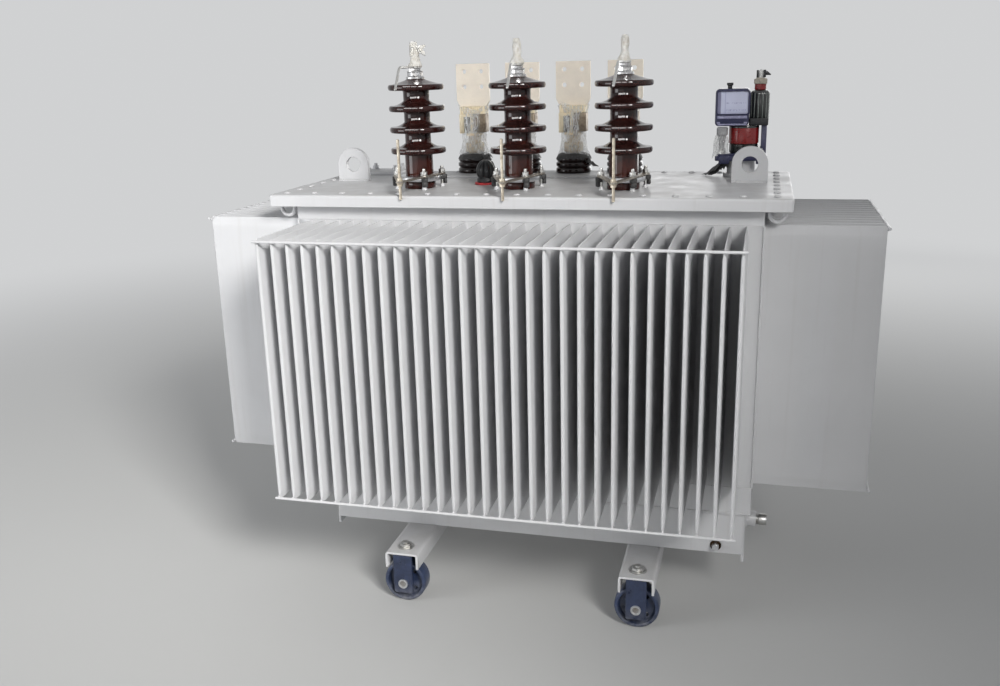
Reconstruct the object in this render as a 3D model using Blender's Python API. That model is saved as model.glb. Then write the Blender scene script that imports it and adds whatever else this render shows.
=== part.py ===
# Oil-filled distribution transformer with folded cooling fins, on four swivel-fork rollers.
# Frame: X along the long side, -Y towards the high-voltage side, Z up, origin on the ground.
import math

import bmesh
import bpy
import numpy as np
from mathutils import Matrix, Vector

# Driving dimensions, metres
SEAT = 0.0003            # gap between pieces that touch

# Undercarriage
WHEEL_R = 0.0625
WHEEL_W = 0.048
WHEEL_CHAMFER = 0.004
WEB_HALF = 0.009         # half thickness of the wheel's web
RIM_DEPTH = 0.011        # thickness of the wheel's rim
HUB_R = 0.024
LIGHTENING_R = 0.0065
LIGHTENING_AT = 0.037    # radius of the circle of lightening holes
LIGHTENING_COUNT = 4
GAUGE = 0.670            # between wheel centres along X
AXLE_R = 0.014
AXLE_BORE_R = 0.0083
AXLE_OUT = 0.004         # axle end beyond the fork
PIN_CLEAR = 0.0006       # running clearance of the wheel on its axle
SIDE_CLEAR = 0.006       # wheel to fork plate
FORK_W = 0.065
FORK_T = 0.008
FORK_DROP = 0.030        # fork end below the axle
FORK_INSET = 0.005       # fork plate behind the skid's end
SKID_X = 0.020           # undercarriage centre, off the tank's own centre
SKID_TOP = 0.161
SKID_W = 0.098
SKID_H = 0.048
SKID_T = 0.0065
SKID_HALF = 0.470

# Base and tank
FLOOR_T = 0.006
BASE_STEP_LEFT = 0.052    # base end inside the tank end
BASE_STEP_RIGHT = 0.012
BASE_STEP_SIDE = 0.003
BASE_T = 0.008
END_DROP = 0.023          # end plates below the base
SEAM_Z = 0.286           # joint between base and tank walls
TANK_HALF_L = 0.644      # to the outside of the folded sheet
TANK_HALF_W = 0.284
SHEET_T = 0.004
TANK_T = 0.005

# Cover
COVER_TOP = 1.160
COVER_T = 0.006
RIM_H = 0.033
OVERHANG_L = 0.069        # cover beyond the tank's folded sheet
OVERHANG_W = 0.037
FLANGE_T = 0.012
FLANGE_GAP = 0.004       # tank flange to the inside of the cover's rim

# Cooling fins
FIN_PITCH = 0.0415
FIN_END = 0.030           # least distance from a wall's end to its last fin
FIN_T = 0.0095
FIN_TIP_T = 0.003        # thickness where a fin is pressed shut
FIN_TAPER = 0.022
FIN_TOP = 1.084
FIN_BOTTOM = 0.370
SHEET_MARGIN = 0.004      # sheet above and below the fins
FIN_REACH_LONG = 0.3305
FIN_REACH_SHORT = 0.298
ROD_R = 0.004
ROD_OVER = 0.005         # rod beyond the last fin

# Lifting lugs and lashing eyes
LUG_INSET = 0.115         # lug centre inside the cover's end
LUG_Y = 0.034
LUG_W = 0.100
LUG_T = 0.016
LUG_HOLE_R = 0.0225
LUG_CENTRE = 0.050       # hole centre above the cover
EYE_INSET_X = 0.037
EYE_INSET_Y = 0.046
EYE_R = 0.0245
EYE_HOLE_R = 0.0145
EYE_T = 0.010
EYE_TAB = 0.030

# High-voltage bushings
HV_X = -0.030
HV_PITCH = 0.295
HV_INSET = 0.191         # bushing axes behind the cover's front edge
HV_COLLAR_R = 0.045
HV_COLLAR_H = 0.021
HV_BODY_R = 0.040
HV_CORE_R = 0.037
HV_SHED_R = 0.079
HV_SHED_Z = (0.108, 0.1665, 0.225, 0.283)
SHED_LIP = 0.006         # rounding of a shed's lip
SHED_UNDER = 0.0095      # underside below the shed's level
SHED_RISE = 0.026        # height over which the top of a shed runs into the core
HV_TOP_Z = 0.303
HV_TOP_R = 0.028
CLAMP_R = 0.066
CLAMP_H = 0.014
TERMINAL_R = 0.025
TERMINAL_TOP = 0.345
STUD_R = 0.012
STUD_TOP = 0.406
HORN_R = 0.003
HORN_REACH = 0.198        # spark rods in front of the bushing's axis
HORN_BEND = 0.120         # where the upper rod turns down
HORN_Z = 0.336
HORN_TIP_Z = 0.277
HORN_TURN = (3.5, 6.4, 0.0)      # degrees round the bushings, as they stand in the photo
BRACKET_TURN = (3.5, 1.0, 0.5)
BRACKET_W = 0.018
BRACKET_CLEAR = 0.001     # between an arm and the insulator
ARM_SPREAD = math.radians(5)   # the left arm opens this much more than the right one
ARM_END = (-0.030, 0.036)      # ends of the left and right arm, behind the bushing's axis
BRACKET_T = 0.004
GAP_ROD_R = 0.004
GAP_ROD_LOW = -0.011      # the rod hangs in front of the cover's rim
GAP_ROD_HIGH = 0.1515

# Low-voltage bushings
LV_X = -0.028
LV_PITCH = 0.162
LV_INSET = 0.057         # bushing axes in front of the cover's rear edge
LV_BASE_R = 0.056
LV_BASE_H = 0.053
LV_STEM_R = 0.021
LV_NUT_R = 0.031
LV_NUT_TOP = 0.095
CLAMP_BLOCK_W = 0.086
CLAMP_BLOCK_D = 0.052
CLAMP_BLOCK_LOW = 0.128
PALM_W = 0.108
PALM_T = 0.015
PALM_LOW = 0.205
PALM_TOP = 0.339
PALM_CHAMFER = 0.011
PALM_HOLE_R = 0.007
PALM_HOLE_DX = 0.0277
PALM_HOLE_Z = (0.268, 0.315)
PLATE_HALF_L = 0.300     # raised plate under the low-voltage row
PLATE_INSET = (0.201, 0.010)   # front and rear edge, from the cover's rear edge
PLATE_T = 0.003

# Small fittings
TAP_XY = (-0.151, -0.040)
TAP_FLARE_R = 0.035
TAP_TOP_R = 0.018
TAP_H = 0.070
RELAY_INSET = (0.143, 0.121)   # from the cover's right and rear edges
RELAY_NECK_R = 0.042
RELAY_NECK_H = 0.050
RELAY_BASE = (0.150, 0.120, 0.018)
RELAY_FLOAT_R = 0.042
RELAY_HEAD_Z = 0.147
RELAY_HEAD = (0.104, 0.100, 0.108)
RELAY_SIDE_R = 0.0275
RELAY_HEAD_SHIFT = -0.026  # display box off the float's axis
RELAY_SIDE_SHIFT = 0.053
RELAY_OVERLAP = 0.003
RELAY_SHOULDER = 0.010
RELAY_TOP_Z = 0.314
BLANK_INSET = (0.088, 0.021)   # blank flange from the cover's left and rear edges
BLANK_SIZE = (0.135, 0.110, 0.010)
BLANK_STUD_R = 0.006
BLANK_STUD_H = 0.020
BLANK_STUD_IN = 0.020
DRAIN_Y = -0.150
DRAIN_Z = 0.214
DRAIN_COLLAR_R = 0.0225
DRAIN_PIPE_R = 0.0165
DRAIN_COLLAR_L = 0.028
DRAIN_LENGTH = 0.058
EARTH_INSET = 0.078       # from the base's right end
EARTH_Z = 0.186
EARTH_R = 0.012
EARTH_L = 0.018

ROUND = 20               # sides of turned pieces
SMALL_ROUND = 12
WHEEL_SIDES = ROUND + 4


# Collections and materials
for old in list(bpy.data.objects):
    bpy.data.objects.remove(old, do_unlink=True)

PARTS = bpy.data.collections.new("distribution_transformer")
CUTTERS = bpy.data.collections.new("cutters")
bpy.context.scene.collection.children.link(PARTS)
bpy.context.scene.collection.children.link(CUTTERS)


def material(name, colour, metallic, roughness):
    mat = bpy.data.materials.new(name)
    mat.use_nodes = True
    shader = mat.node_tree.nodes["Principled BSDF"]
    shader.inputs["Base Color"].default_value = (*colour, 1.0)
    shader.inputs["Metallic"].default_value = metallic
    shader.inputs["Roughness"].default_value = roughness
    return mat


GREY_PAINT = material("grey_paint", (0.56, 0.58, 0.58), 0.0, 0.45)
PORCELAIN = material("porcelain", (0.045, 0.012, 0.010), 0.0, 0.15)
NAVY = material("navy_paint", (0.022, 0.030, 0.085), 0.0, 0.45)
ALUMINIUM = material("aluminium", (0.75, 0.76, 0.78), 1.0, 0.35)
TINNED = material("tinned_brass", (0.80, 0.72, 0.58), 1.0, 0.40)
TAPE = material("taped_stud", (0.75, 0.70, 0.60), 0.0, 0.60)
ZINC = material("zinc_steel", (0.62, 0.58, 0.50), 1.0, 0.40)
BLACK = material("black_plastic", (0.020, 0.021, 0.022), 0.0, 0.40)
RELAY_BLUE = material("relay_housing", (0.10, 0.12, 0.20), 0.0, 0.40)


# Builders
def add(name, verts, faces, mat, cutter=False):
    """Make an object from points and faces, faces turned outward."""
    mesh = bpy.data.meshes.new(name)
    mesh.from_pydata([tuple(v) for v in verts], [], faces)
    bm = bmesh.new()
    bm.from_mesh(mesh)
    bmesh.ops.recalc_face_normals(bm, faces=bm.faces)
    bm.to_mesh(mesh)
    bm.free()
    obj = bpy.data.objects.new(name, mesh)
    if cutter:
        CUTTERS.objects.link(obj)
        obj.hide_render = True
        obj.display_type = "WIRE"
    else:
        PARTS.objects.link(obj)
    mesh.materials.append(mat)
    return obj


def block(name, low, high, mat, cutter=False):
    x0, y0, z0 = low
    x1, y1, z1 = high
    verts = [(x, y, z) for z in (z0, z1) for y in (y0, y1) for x in (x0, x1)]
    faces = [(0, 1, 3, 2), (4, 6, 7, 5), (0, 4, 5, 1), (1, 5, 7, 3), (3, 7, 6, 2), (2, 6, 4, 0)]
    return add(name, verts, faces, mat, cutter)


def turned(name, profile, mat, place=(0, 0, 0), axis="Z", sides=ROUND, cutter=False):
    """Revolve a closed profile of (radius, height) points; radius 0 makes a pole."""
    verts = []
    rings = []
    for radius, height in profile:
        if radius < 1e-7:
            rings.append([len(verts)])
            verts.append(Vector((0, 0, height)))
            continue
        rings.append(list(range(len(verts), len(verts) + sides)))
        for k in range(sides):
            angle = 2 * math.pi * (k + 0.5) / sides
            verts.append(Vector((radius * math.cos(angle), radius * math.sin(angle), height)))
    faces = []
    pairs = list(zip(rings, rings[1:] + rings[:1]))
    for low, high in pairs:
        if len(low) == 1 and len(high) == 1:
            continue
        for k in range(sides):
            n = (k + 1) % sides
            if len(low) == 1:
                faces.append((low[0], high[k], high[n]))
            elif len(high) == 1:
                faces.append((low[k], high[0], low[n]))
            else:
                faces.append((low[k], high[k], high[n], low[n]))
    turn = {"Z": Matrix.Identity(3), "Y": Matrix.Rotation(math.radians(-90), 3, "X"),
            "X": Matrix.Rotation(math.radians(90), 3, "Y")}[axis]
    verts = [turn @ v + Vector(place) for v in verts]
    return add(name, verts, faces, mat, cutter)


def rod(name, low, high, radius, mat, axis, sides=SMALL_ROUND, cutter=False):
    """A plain cylinder between two points that differ along one axis."""
    length = (Vector(high) - Vector(low)).length
    return turned(name, [(0, 0), (radius, 0), (radius, length), (0, length)], mat, low, axis,
                  sides, cutter)


def prism(name, outline, y0, y1, mat, cutter=False):
    """Extrude an outline of (x, z) points along Y."""
    count = len(outline)
    verts = [(x, y, z) for y in (y0, y1) for x, z in outline]
    faces = [tuple(range(count)), tuple(range(2 * count - 1, count - 1, -1))]
    for k in range(count):
        n = (k + 1) % count
        faces.append((k, k + count, n + count, n))
    return add(name, verts, faces, mat, cutter)


def flat(name, outline, z0, z1, mat, cutter=False):
    """Extrude an outline of (x, y) points along Z."""
    count = len(outline)
    verts = [(x, y, z) for z in (z0, z1) for x, y in outline]
    faces = [tuple(range(count)), tuple(range(2 * count - 1, count - 1, -1))]
    for k in range(count):
        n = (k + 1) % count
        faces.append((k, k + count, n + count, n))
    return add(name, verts, faces, mat, cutter)


def swept(name, path, radius, mat, sides=8, cutter=False):
    """A round bar along a path of points, with flat ends."""
    points = [Vector(p) for p in path]
    verts = []
    side = None
    for k, point in enumerate(points):
        before = (point - points[k - 1]).normalized() if k else None
        after = (points[k + 1] - point).normalized() if k < len(points) - 1 else None
        along = (before + after).normalized() if before and after else (before or after)
        if side is None:
            side = along.orthogonal().normalized()
        side = (side - along * side.dot(along)).normalized()
        other = along.cross(side)
        stretch = 1.0 / max(0.5, along.dot(after)) if before and after else 1.0
        bend = (after - before) if before and after else Vector((0, 0, 0))
        bend = bend.normalized() if bend.length > 1e-6 else bend
        for n in range(sides):
            angle = 2 * math.pi * (n + 0.5) / sides
            offset = side * math.cos(angle) + other * math.sin(angle)
            offset = offset + bend * offset.dot(bend) * (stretch - 1.0)
            verts.append(point + offset * radius)
    faces = [tuple(range(sides)), tuple(range(len(verts) - 1, len(verts) - sides - 1, -1))]
    for k in range(len(points) - 1):
        for n in range(sides):
            m = (n + 1) % sides
            a = k * sides
            faces.append((a + n, a + sides + n, a + sides + m, a + m))
    return add(name, verts, faces, mat, cutter)


def combine(target, other, operation):
    step = target.modifiers.new(operation.lower(), "BOOLEAN")
    step.operation = operation
    step.solver = "EXACT"
    step.object = other
    return target


def cut(target, other):
    return combine(target, other, "DIFFERENCE")


def join(target, other):
    return combine(target, other, "UNION")


# Undercarriage
AXLE_Z = WHEEL_R * math.cos(math.pi / WHEEL_SIDES)   # the wheel stands on a facet
FORK_OUTER = SKID_HALF - FORK_INSET
WHEEL_Y = FORK_OUTER - FORK_T - SIDE_CLEAR - WHEEL_W / 2
FORK_TOP = SKID_TOP - SKID_T - SEAT

for side_x, label_x in ((-1, "left"), (1, "right")):
    x = SKID_X + side_x * GAUGE / 2
    half = SKID_W / 2
    low = SKID_TOP - SKID_H
    inner = half - SKID_T
    web = SKID_TOP - SKID_T
    section = [(x - half, low), (x - inner, low), (x - inner, web), (x + inner, web),
               (x + inner, low), (x + half, low), (x + half, SKID_TOP), (x - half, SKID_TOP)]
    prism(f"skid_{label_x}", section, -SKID_HALF, SKID_HALF, GREY_PAINT)

    for side_y, label_y in ((-1, "front"), (1, "rear")):
        tag = f"{label_y}_{label_x}"
        y = side_y * WHEEL_Y
        # Fork: two straps and a top plate, the hollow axle fixed in it
        inner_y = WHEEL_W / 2 + SIDE_CLEAR
        outer_y = inner_y + FORK_T
        strap_low = AXLE_Z - FORK_DROP
        fork = block(f"fork_{tag}", (x - FORK_W / 2, y - outer_y, strap_low),
                     (x + FORK_W / 2, y + outer_y, FORK_TOP), NAVY)
        gap = block(f"cut_fork_{tag}", (x - FORK_W, y - inner_y, strap_low - 0.01),
                    (x + FORK_W, y + inner_y, FORK_TOP - FORK_T), NAVY, True)
        cut(fork, gap)
        reach = outer_y + AXLE_OUT
        axle = rod(f"join_axle_{tag}", (x, y - reach, AXLE_Z), (x, y + reach, AXLE_Z), AXLE_R,
                   NAVY, "Y", ROUND, True)
        join(fork, axle)
        bore = rod(f"cut_axle_{tag}", (x, y - reach - 0.01, AXLE_Z), (x, y + reach + 0.01, AXLE_Z),
                   AXLE_BORE_R, NAVY, "Y", SMALL_ROUND, True)
        cut(fork, bore)

        # Wheel, turned about its own axis, origin on the axle
        w = WHEEL_W / 2
        c = WHEEL_CHAMFER
        rim = WHEEL_R - RIM_DEPTH
        bore_r = AXLE_R + PIN_CLEAR
        profile = [(bore_r, -w), (HUB_R, -w), (HUB_R, -WEB_HALF), (rim, -WEB_HALF), (rim, -w),
                   (WHEEL_R - c, -w), (WHEEL_R, c - w), (WHEEL_R, w - c), (WHEEL_R - c, w),
                   (rim, w), (rim, WEB_HALF), (HUB_R, WEB_HALF), (HUB_R, w), (bore_r, w)]
        wheel = turned(f"wheel_{tag}", profile, NAVY, (0, 0, 0), "Y", WHEEL_SIDES)
        wheel.location = (x, y, AXLE_Z)
        for k in range(LIGHTENING_COUNT):
            angle = 2 * math.pi * (k + 0.5) / LIGHTENING_COUNT
            hx = x + LIGHTENING_AT * math.cos(angle)
            hz = AXLE_Z + LIGHTENING_AT * math.sin(angle)
            hole = rod(f"cut_wheel_{tag}_{k}", (hx, y - w, hz), (hx, y + w, hz), LIGHTENING_R,
                       NAVY, "Y", 8, True)
            cut(wheel, hole)

# Base, tank and cover
base_low = SKID_TOP + SEAT
base_top = SEAM_Z - SEAT
base_left = -TANK_HALF_L + BASE_STEP_LEFT
base_right = TANK_HALF_L - BASE_STEP_RIGHT
base_w = TANK_HALF_W - BASE_STEP_SIDE
base = block("base_frame", (base_left, -base_w, base_low), (base_right, base_w, base_top), GREY_PAINT)
for label, x0 in (("left", base_left), ("right", base_right - BASE_T)):
    end = block(f"join_end_{label}", (x0, -base_w, base_low - END_DROP),
                (x0 + BASE_T, base_w, base_low + FLOOR_T), GREY_PAINT, True)
    join(base, end)
hollow = block("cut_base", (base_left + BASE_T, -base_w + BASE_T, base_low + FLOOR_T),
               (base_right - BASE_T, base_w - BASE_T, base_top + BASE_T), GREY_PAINT, True)
cut(base, hollow)

tank_top = COVER_TOP - COVER_T - SEAT
flange_low = tank_top - FLANGE_T
wall_l = TANK_HALF_L - SHEET_T - SEAT
wall_w = TANK_HALF_W - SHEET_T - SEAT
cover_l = TANK_HALF_L + OVERHANG_L
cover_w = TANK_HALF_W + OVERHANG_W
hv_y = HV_INSET - cover_w
lv_y = cover_w - LV_INSET
flange_l = cover_l - COVER_T - FLANGE_GAP
flange_w = cover_w - COVER_T - FLANGE_GAP
tank = block("tank", (-wall_l, -wall_w, SEAM_Z), (wall_l, wall_w, tank_top), GREY_PAINT)
band_low = FIN_BOTTOM - SHEET_MARGIN - SEAT
band_high = FIN_TOP + SHEET_MARGIN + SEAT
for label, z0, z1 in (("low", SEAM_Z, band_low), ("high", band_high, flange_low - SEAT)):
    band = block(f"join_band_{label}", (-TANK_HALF_L, -TANK_HALF_W, z0), (TANK_HALF_L, TANK_HALF_W, z1),
                 GREY_PAINT, True)
    join(tank, band)
inside = block("cut_tank", (-wall_l + TANK_T, -wall_w + TANK_T, SEAM_Z + TANK_T),
               (wall_l - TANK_T, wall_w - TANK_T, tank_top + TANK_T), GREY_PAINT, True)
cut(tank, inside)
flange = block("tank_flange", (-flange_l, -flange_w, flange_low), (flange_l, flange_w, tank_top), GREY_PAINT)
collar = block("cut_flange", (-wall_l - SEAT, -wall_w - SEAT, flange_low - FLANGE_T),
               (wall_l + SEAT, wall_w + SEAT, tank_top + FLANGE_T), GREY_PAINT, True)
cut(flange, collar)

rim_low = COVER_TOP - RIM_H
cover = block("cover", (-cover_l, -cover_w, rim_low), (cover_l, cover_w, COVER_TOP), GREY_PAINT)
under = block("cut_cover", (-cover_l + COVER_T, -cover_w + COVER_T, rim_low - COVER_T),
              (cover_l - COVER_T, cover_w - COVER_T, COVER_TOP - COVER_T), GREY_PAINT, True)
cut(cover, under)

plate_low = COVER_TOP + SEAT
plate_top = plate_low + PLATE_T
block("terminal_plate", (LV_X - PLATE_HALF_L, cover_w - PLATE_INSET[0], plate_low),
      (LV_X + PLATE_HALF_L, cover_w - PLATE_INSET[1], plate_top), GREY_PAINT)

# Blank flange on a spare opening, with its studs
blank_x = -cover_l + BLANK_INSET[0]
blank_y = cover_w - BLANK_INSET[1] - BLANK_SIZE[1]
blank_top = plate_low + BLANK_SIZE[2]
blank = block("blank_flange", (blank_x, blank_y, plate_low),
              (blank_x + BLANK_SIZE[0], blank_y + BLANK_SIZE[1], blank_top), GREY_PAINT)
for k in range(4):
    sx = blank_x + (BLANK_STUD_IN if k % 2 == 0 else BLANK_SIZE[0] - BLANK_STUD_IN)
    sy = blank_y + (BLANK_STUD_IN if k < 2 else BLANK_SIZE[1] - BLANK_STUD_IN)
    stud = rod(f"join_blank_stud_{k}", (sx, sy, blank_top - BLANK_SIZE[2] / 2),
               (sx, sy, blank_top + BLANK_STUD_H), BLANK_STUD_R, GREY_PAINT, "Z", 6, True)
    join(blank, stud)


# Folded fin walls
def fin_wall(name, half_length, face, reach, frame):
    """One wall: a sheet with a row of hollow-looking fins, each pressed shut at both ends.

    The wall is drawn in its own plane: u along the wall, v outward, z up.  frame turns (u, v)
    into world X and Y.
    """
    count = int((2 * half_length - 2 * FIN_END) / FIN_PITCH) + 1
    z_low = FIN_BOTTOM - SHEET_MARGIN
    z_high = FIN_TOP + SHEET_MARGIN
    centres = [(k - (count - 1) / 2) * FIN_PITCH for k in range(count)]
    levels = [(FIN_BOTTOM, FIN_TIP_T), (FIN_BOTTOM + FIN_TAPER, FIN_T), (FIN_TOP - FIN_TAPER, FIN_T),
              (FIN_TOP, FIN_TIP_T)]
    verts = []
    index = {}

    def point(u, v, z):
        key = (round(u, 6), round(v, 6), round(z, 6))
        if key not in index:
            index[key] = len(verts)
            x, y = frame(u, v)
            verts.append((x, y, z))
        return index[key]

    back = face - SHEET_T
    faces = []
    out = face + reach
    for u in centres:
        right = [(u + t / 2, z) for z, t in levels]
        left = [(u - t / 2, z) for z, t in reversed(levels)]
        loop = right + left
        for k, (a, za) in enumerate(loop):
            b, zb = loop[(k + 1) % len(loop)]
            faces.append((point(a, face, za), point(b, face, zb), point(b, out, zb), point(a, out, za)))
        faces.append(tuple(point(a, out, z) for a, z in loop))
        tip = FIN_TIP_T / 2
        faces.append((point(u - tip, face, FIN_TOP), point(u + tip, face, FIN_TOP),
                      point(u + tip, face, z_high), point(u - tip, face, z_high)))
        faces.append((point(u - tip, face, z_low), point(u + tip, face, z_low),
                      point(u + tip, face, FIN_BOTTOM), point(u - tip, face, FIN_BOTTOM)))

    # Sheet between the fins, and the two end strips
    edges = [-half_length] + centres + [half_length]
    for k in range(len(edges) - 1):
        first, last = k == 0, k == len(edges) - 2
        a, b = edges[k], edges[k + 1]
        left_side = [(a, z_low), (a, z_high)] if first else (
            [(a + FIN_TIP_T / 2, z_low)] + [(a + t / 2, z) for z, t in levels] + [(a + FIN_TIP_T / 2, z_high)])
        right_side = [(b, z_low), (b, z_high)] if last else (
            [(b - FIN_TIP_T / 2, z_low)] + [(b - t / 2, z) for z, t in levels] + [(b - FIN_TIP_T / 2, z_high)])
        loop = left_side + right_side[::-1]
        faces.append(tuple(point(u, face, z) for u, z in loop))

    # Rim of the sheet and its back
    top = [-half_length] + [u + s * FIN_TIP_T / 2 for u in centres for s in (-1, 1)] + [half_length]
    for z in (z_low, z_high):
        front = [point(u, face, z) for u in top]
        faces.append(tuple(front + [point(half_length, back, z), point(-half_length, back, z)]))
    for u in (-half_length, half_length):
        faces.append((point(u, face, z_low), point(u, face, z_high),
                      point(u, back, z_high), point(u, back, z_low)))
    faces.append((point(-half_length, back, z_low), point(half_length, back, z_low),
                  point(half_length, back, z_high), point(-half_length, back, z_high)))
    wall = add(name, verts, faces, GREY_PAINT)

    rod_half = centres[-1] + FIN_T / 2 + ROD_OVER
    away = out + SEAT + ROD_R
    axis = "X" if abs(frame(1, 0)[0]) > 0.5 else "Y"
    for z, label in ((FIN_BOTTOM + ROD_R, "low"), (FIN_TOP - ROD_R, "high")):
        ends = sorted([frame(-rod_half, away), frame(rod_half, away)])
        rod(f"{name.replace('fin_wall', 'rod')}_{label}", (*ends[0], z), (*ends[1], z), ROD_R,
            GREY_PAINT, axis, 8)
    return wall


fin_wall("fin_wall_front", TANK_HALF_L, TANK_HALF_W, FIN_REACH_LONG, lambda u, v: (u, -v))
fin_wall("fin_wall_rear", TANK_HALF_L, TANK_HALF_W, FIN_REACH_LONG, lambda u, v: (-u, v))
side_half = wall_w
fin_wall("fin_wall_right", side_half, TANK_HALF_L, FIN_REACH_SHORT, lambda u, v: (v, u))
fin_wall("fin_wall_left", side_half, TANK_HALF_L, FIN_REACH_SHORT, lambda u, v: (-v, -u))

# Lifting lugs and lashing eyes
for side_x, label in ((-1, "left"), (1, "right")):
    x = side_x * (cover_l - LUG_INSET)
    r = LUG_W / 2
    zc = plate_low + LUG_CENTRE
    arc = [(x + r * math.cos(a), zc + r * math.sin(a)) for a in np.linspace(0, math.pi, 15)]
    outline = [(x - r, plate_low), (x + r, plate_low)] + arc
    lug = prism(f"lifting_lug_{label}", outline, LUG_Y - LUG_T / 2, LUG_Y + LUG_T / 2, GREY_PAINT)
    hole = rod(f"cut_lug_{label}", (x, LUG_Y - LUG_T, zc), (x, LUG_Y + LUG_T, zc), LUG_HOLE_R,
               GREY_PAINT, "Y", 16, True)
    cut(lug, hole)

    for side_y, label_y in ((-1, "front"), (1, "rear")):
        x = side_x * (cover_l - EYE_INSET_X)
        y = side_y * (cover_w - EYE_INSET_Y)
        top = flange_low - SEAT
        zc = top - EYE_R
        sweep = math.asin(EYE_TAB / 2 / EYE_R)
        arc = [(x + EYE_R * math.sin(a), zc + EYE_R * math.cos(a))
               for a in np.linspace(sweep, 2 * math.pi - sweep, 17)]
        outline = [(x - EYE_TAB / 2, top), (x + EYE_TAB / 2, top)] + arc
        eye = prism(f"lashing_eye_{label_y}_{label}", outline, y - EYE_T / 2, y + EYE_T / 2, GREY_PAINT)
        hole = rod(f"cut_eye_{label_y}_{label}", (x, y - EYE_T, zc), (x, y + EYE_T, zc), EYE_HOLE_R,
                   GREY_PAINT, "Y", 16, True)
        cut(eye, hole)

# High-voltage bushings
for n in range(3):
    x = HV_X + (n - 1) * HV_PITCH
    tag = n + 1
    z0 = COVER_TOP + SEAT
    profile = [(0, 0), (HV_COLLAR_R, 0), (HV_COLLAR_R, HV_COLLAR_H), (HV_BODY_R, HV_COLLAR_H)]
    core = HV_BODY_R
    for z in HV_SHED_Z:
        profile += [(core, z - SHED_UNDER), (HV_SHED_R - SHED_LIP, z - SHED_UNDER),
                    (HV_SHED_R, z - SHED_LIP / 3), (HV_SHED_R - SHED_LIP, z + SHED_LIP * 0.9)]
        core = HV_CORE_R
        if z != HV_SHED_Z[-1]:
            profile += [(core + SHED_LIP * 1.2, z + SHED_RISE * 0.55), (core, z + SHED_RISE)]
    profile += [(HV_TOP_R, HV_TOP_Z), (0, HV_TOP_Z)]
    turned(f"hv_insulator_{tag}", profile, PORCELAIN, (x, hv_y, z0), "Z", 16)

    ring_low = z0 + HV_COLLAR_H + SEAT
    ring_r = HV_BODY_R + SEAT
    turned(f"hv_clamp_ring_{tag}", [(ring_r, 0), (CLAMP_R, 0), (CLAMP_R, CLAMP_H), (ring_r, CLAMP_H)],
           ALUMINIUM, (x, hv_y, ring_low), "Z", 16)

    # Terminal: disc, nuts and taped stud, with the upper spark rod
    cap_low = HV_TOP_Z + SEAT
    top = [(0, cap_low), (TERMINAL_R, cap_low), (TERMINAL_R, cap_low + 0.008),
           (TERMINAL_R * 0.7, cap_low + 0.010), (TERMINAL_R * 0.7, cap_low + 0.022),
           (TERMINAL_R * 0.95, cap_low + 0.024), (TERMINAL_R * 0.95, TERMINAL_TOP - 0.002),
           (STUD_R, TERMINAL_TOP), (STUD_R, STUD_TOP), (0, STUD_TOP)]
    terminal = turned(f"hv_terminal_{tag}", top, TAPE, (x, hv_y, z0), "Z", SMALL_ROUND)
    turn = math.radians(HORN_TURN[n])
    forward = Vector((math.sin(turn), -math.cos(turn), 0))
    centre = Vector((x, hv_y, z0))
    level = Vector((0, 0, HORN_Z))
    horn = swept(f"join_horn_{tag}", [centre + level, centre + forward * HORN_BEND + level,
                 centre + forward * HORN_REACH + Vector((0, 0, HORN_TIP_Z))], HORN_R, TAPE, 8, True)
    join(terminal, horn)

    # Lower spark rod on a V-shaped bracket that lies on the clamp ring
    b_low = ring_low + CLAMP_H + SEAT
    turn = math.radians(BRACKET_TURN[n])
    forward = Vector((math.sin(turn), -math.cos(turn)))
    across = Vector((math.cos(turn), math.sin(turn)))
    tip = Vector((x, hv_y)) + forward * HORN_REACH
    pass_by = math.asin((HV_BODY_R + BRACKET_W / 2 + BRACKET_CLEAR) / HORN_REACH)
    arms = []
    for side, angle, behind in ((-1, pass_by + ARM_SPREAD, ARM_END[0]), (1, pass_by, ARM_END[1])):
        run = across * side * math.sin(angle) - forward * math.cos(angle)
        beside = Vector((-run.y, run.x)) * BRACKET_W / 2
        near = tip - run * BRACKET_W / 2
        far = tip + run * (HORN_REACH + behind) / math.cos(angle)
        arms.append([near - beside, near + beside, far + beside, far - beside][::-1])
    bracket = flat(f"spark_bracket_{tag}", arms[0], b_low, b_low + BRACKET_T, ZINC)
    join(bracket, flat(f"join_arm_{tag}", arms[1], b_low, b_low + BRACKET_T, ZINC, True))
    gap_rod = rod(f"join_gap_rod_{tag}", (*tip, z0 + GAP_ROD_LOW), (*tip, z0 + GAP_ROD_HIGH),
                  GAP_ROD_R, ZINC, "Z", 8, True)
    join(bracket, gap_rod)

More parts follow.
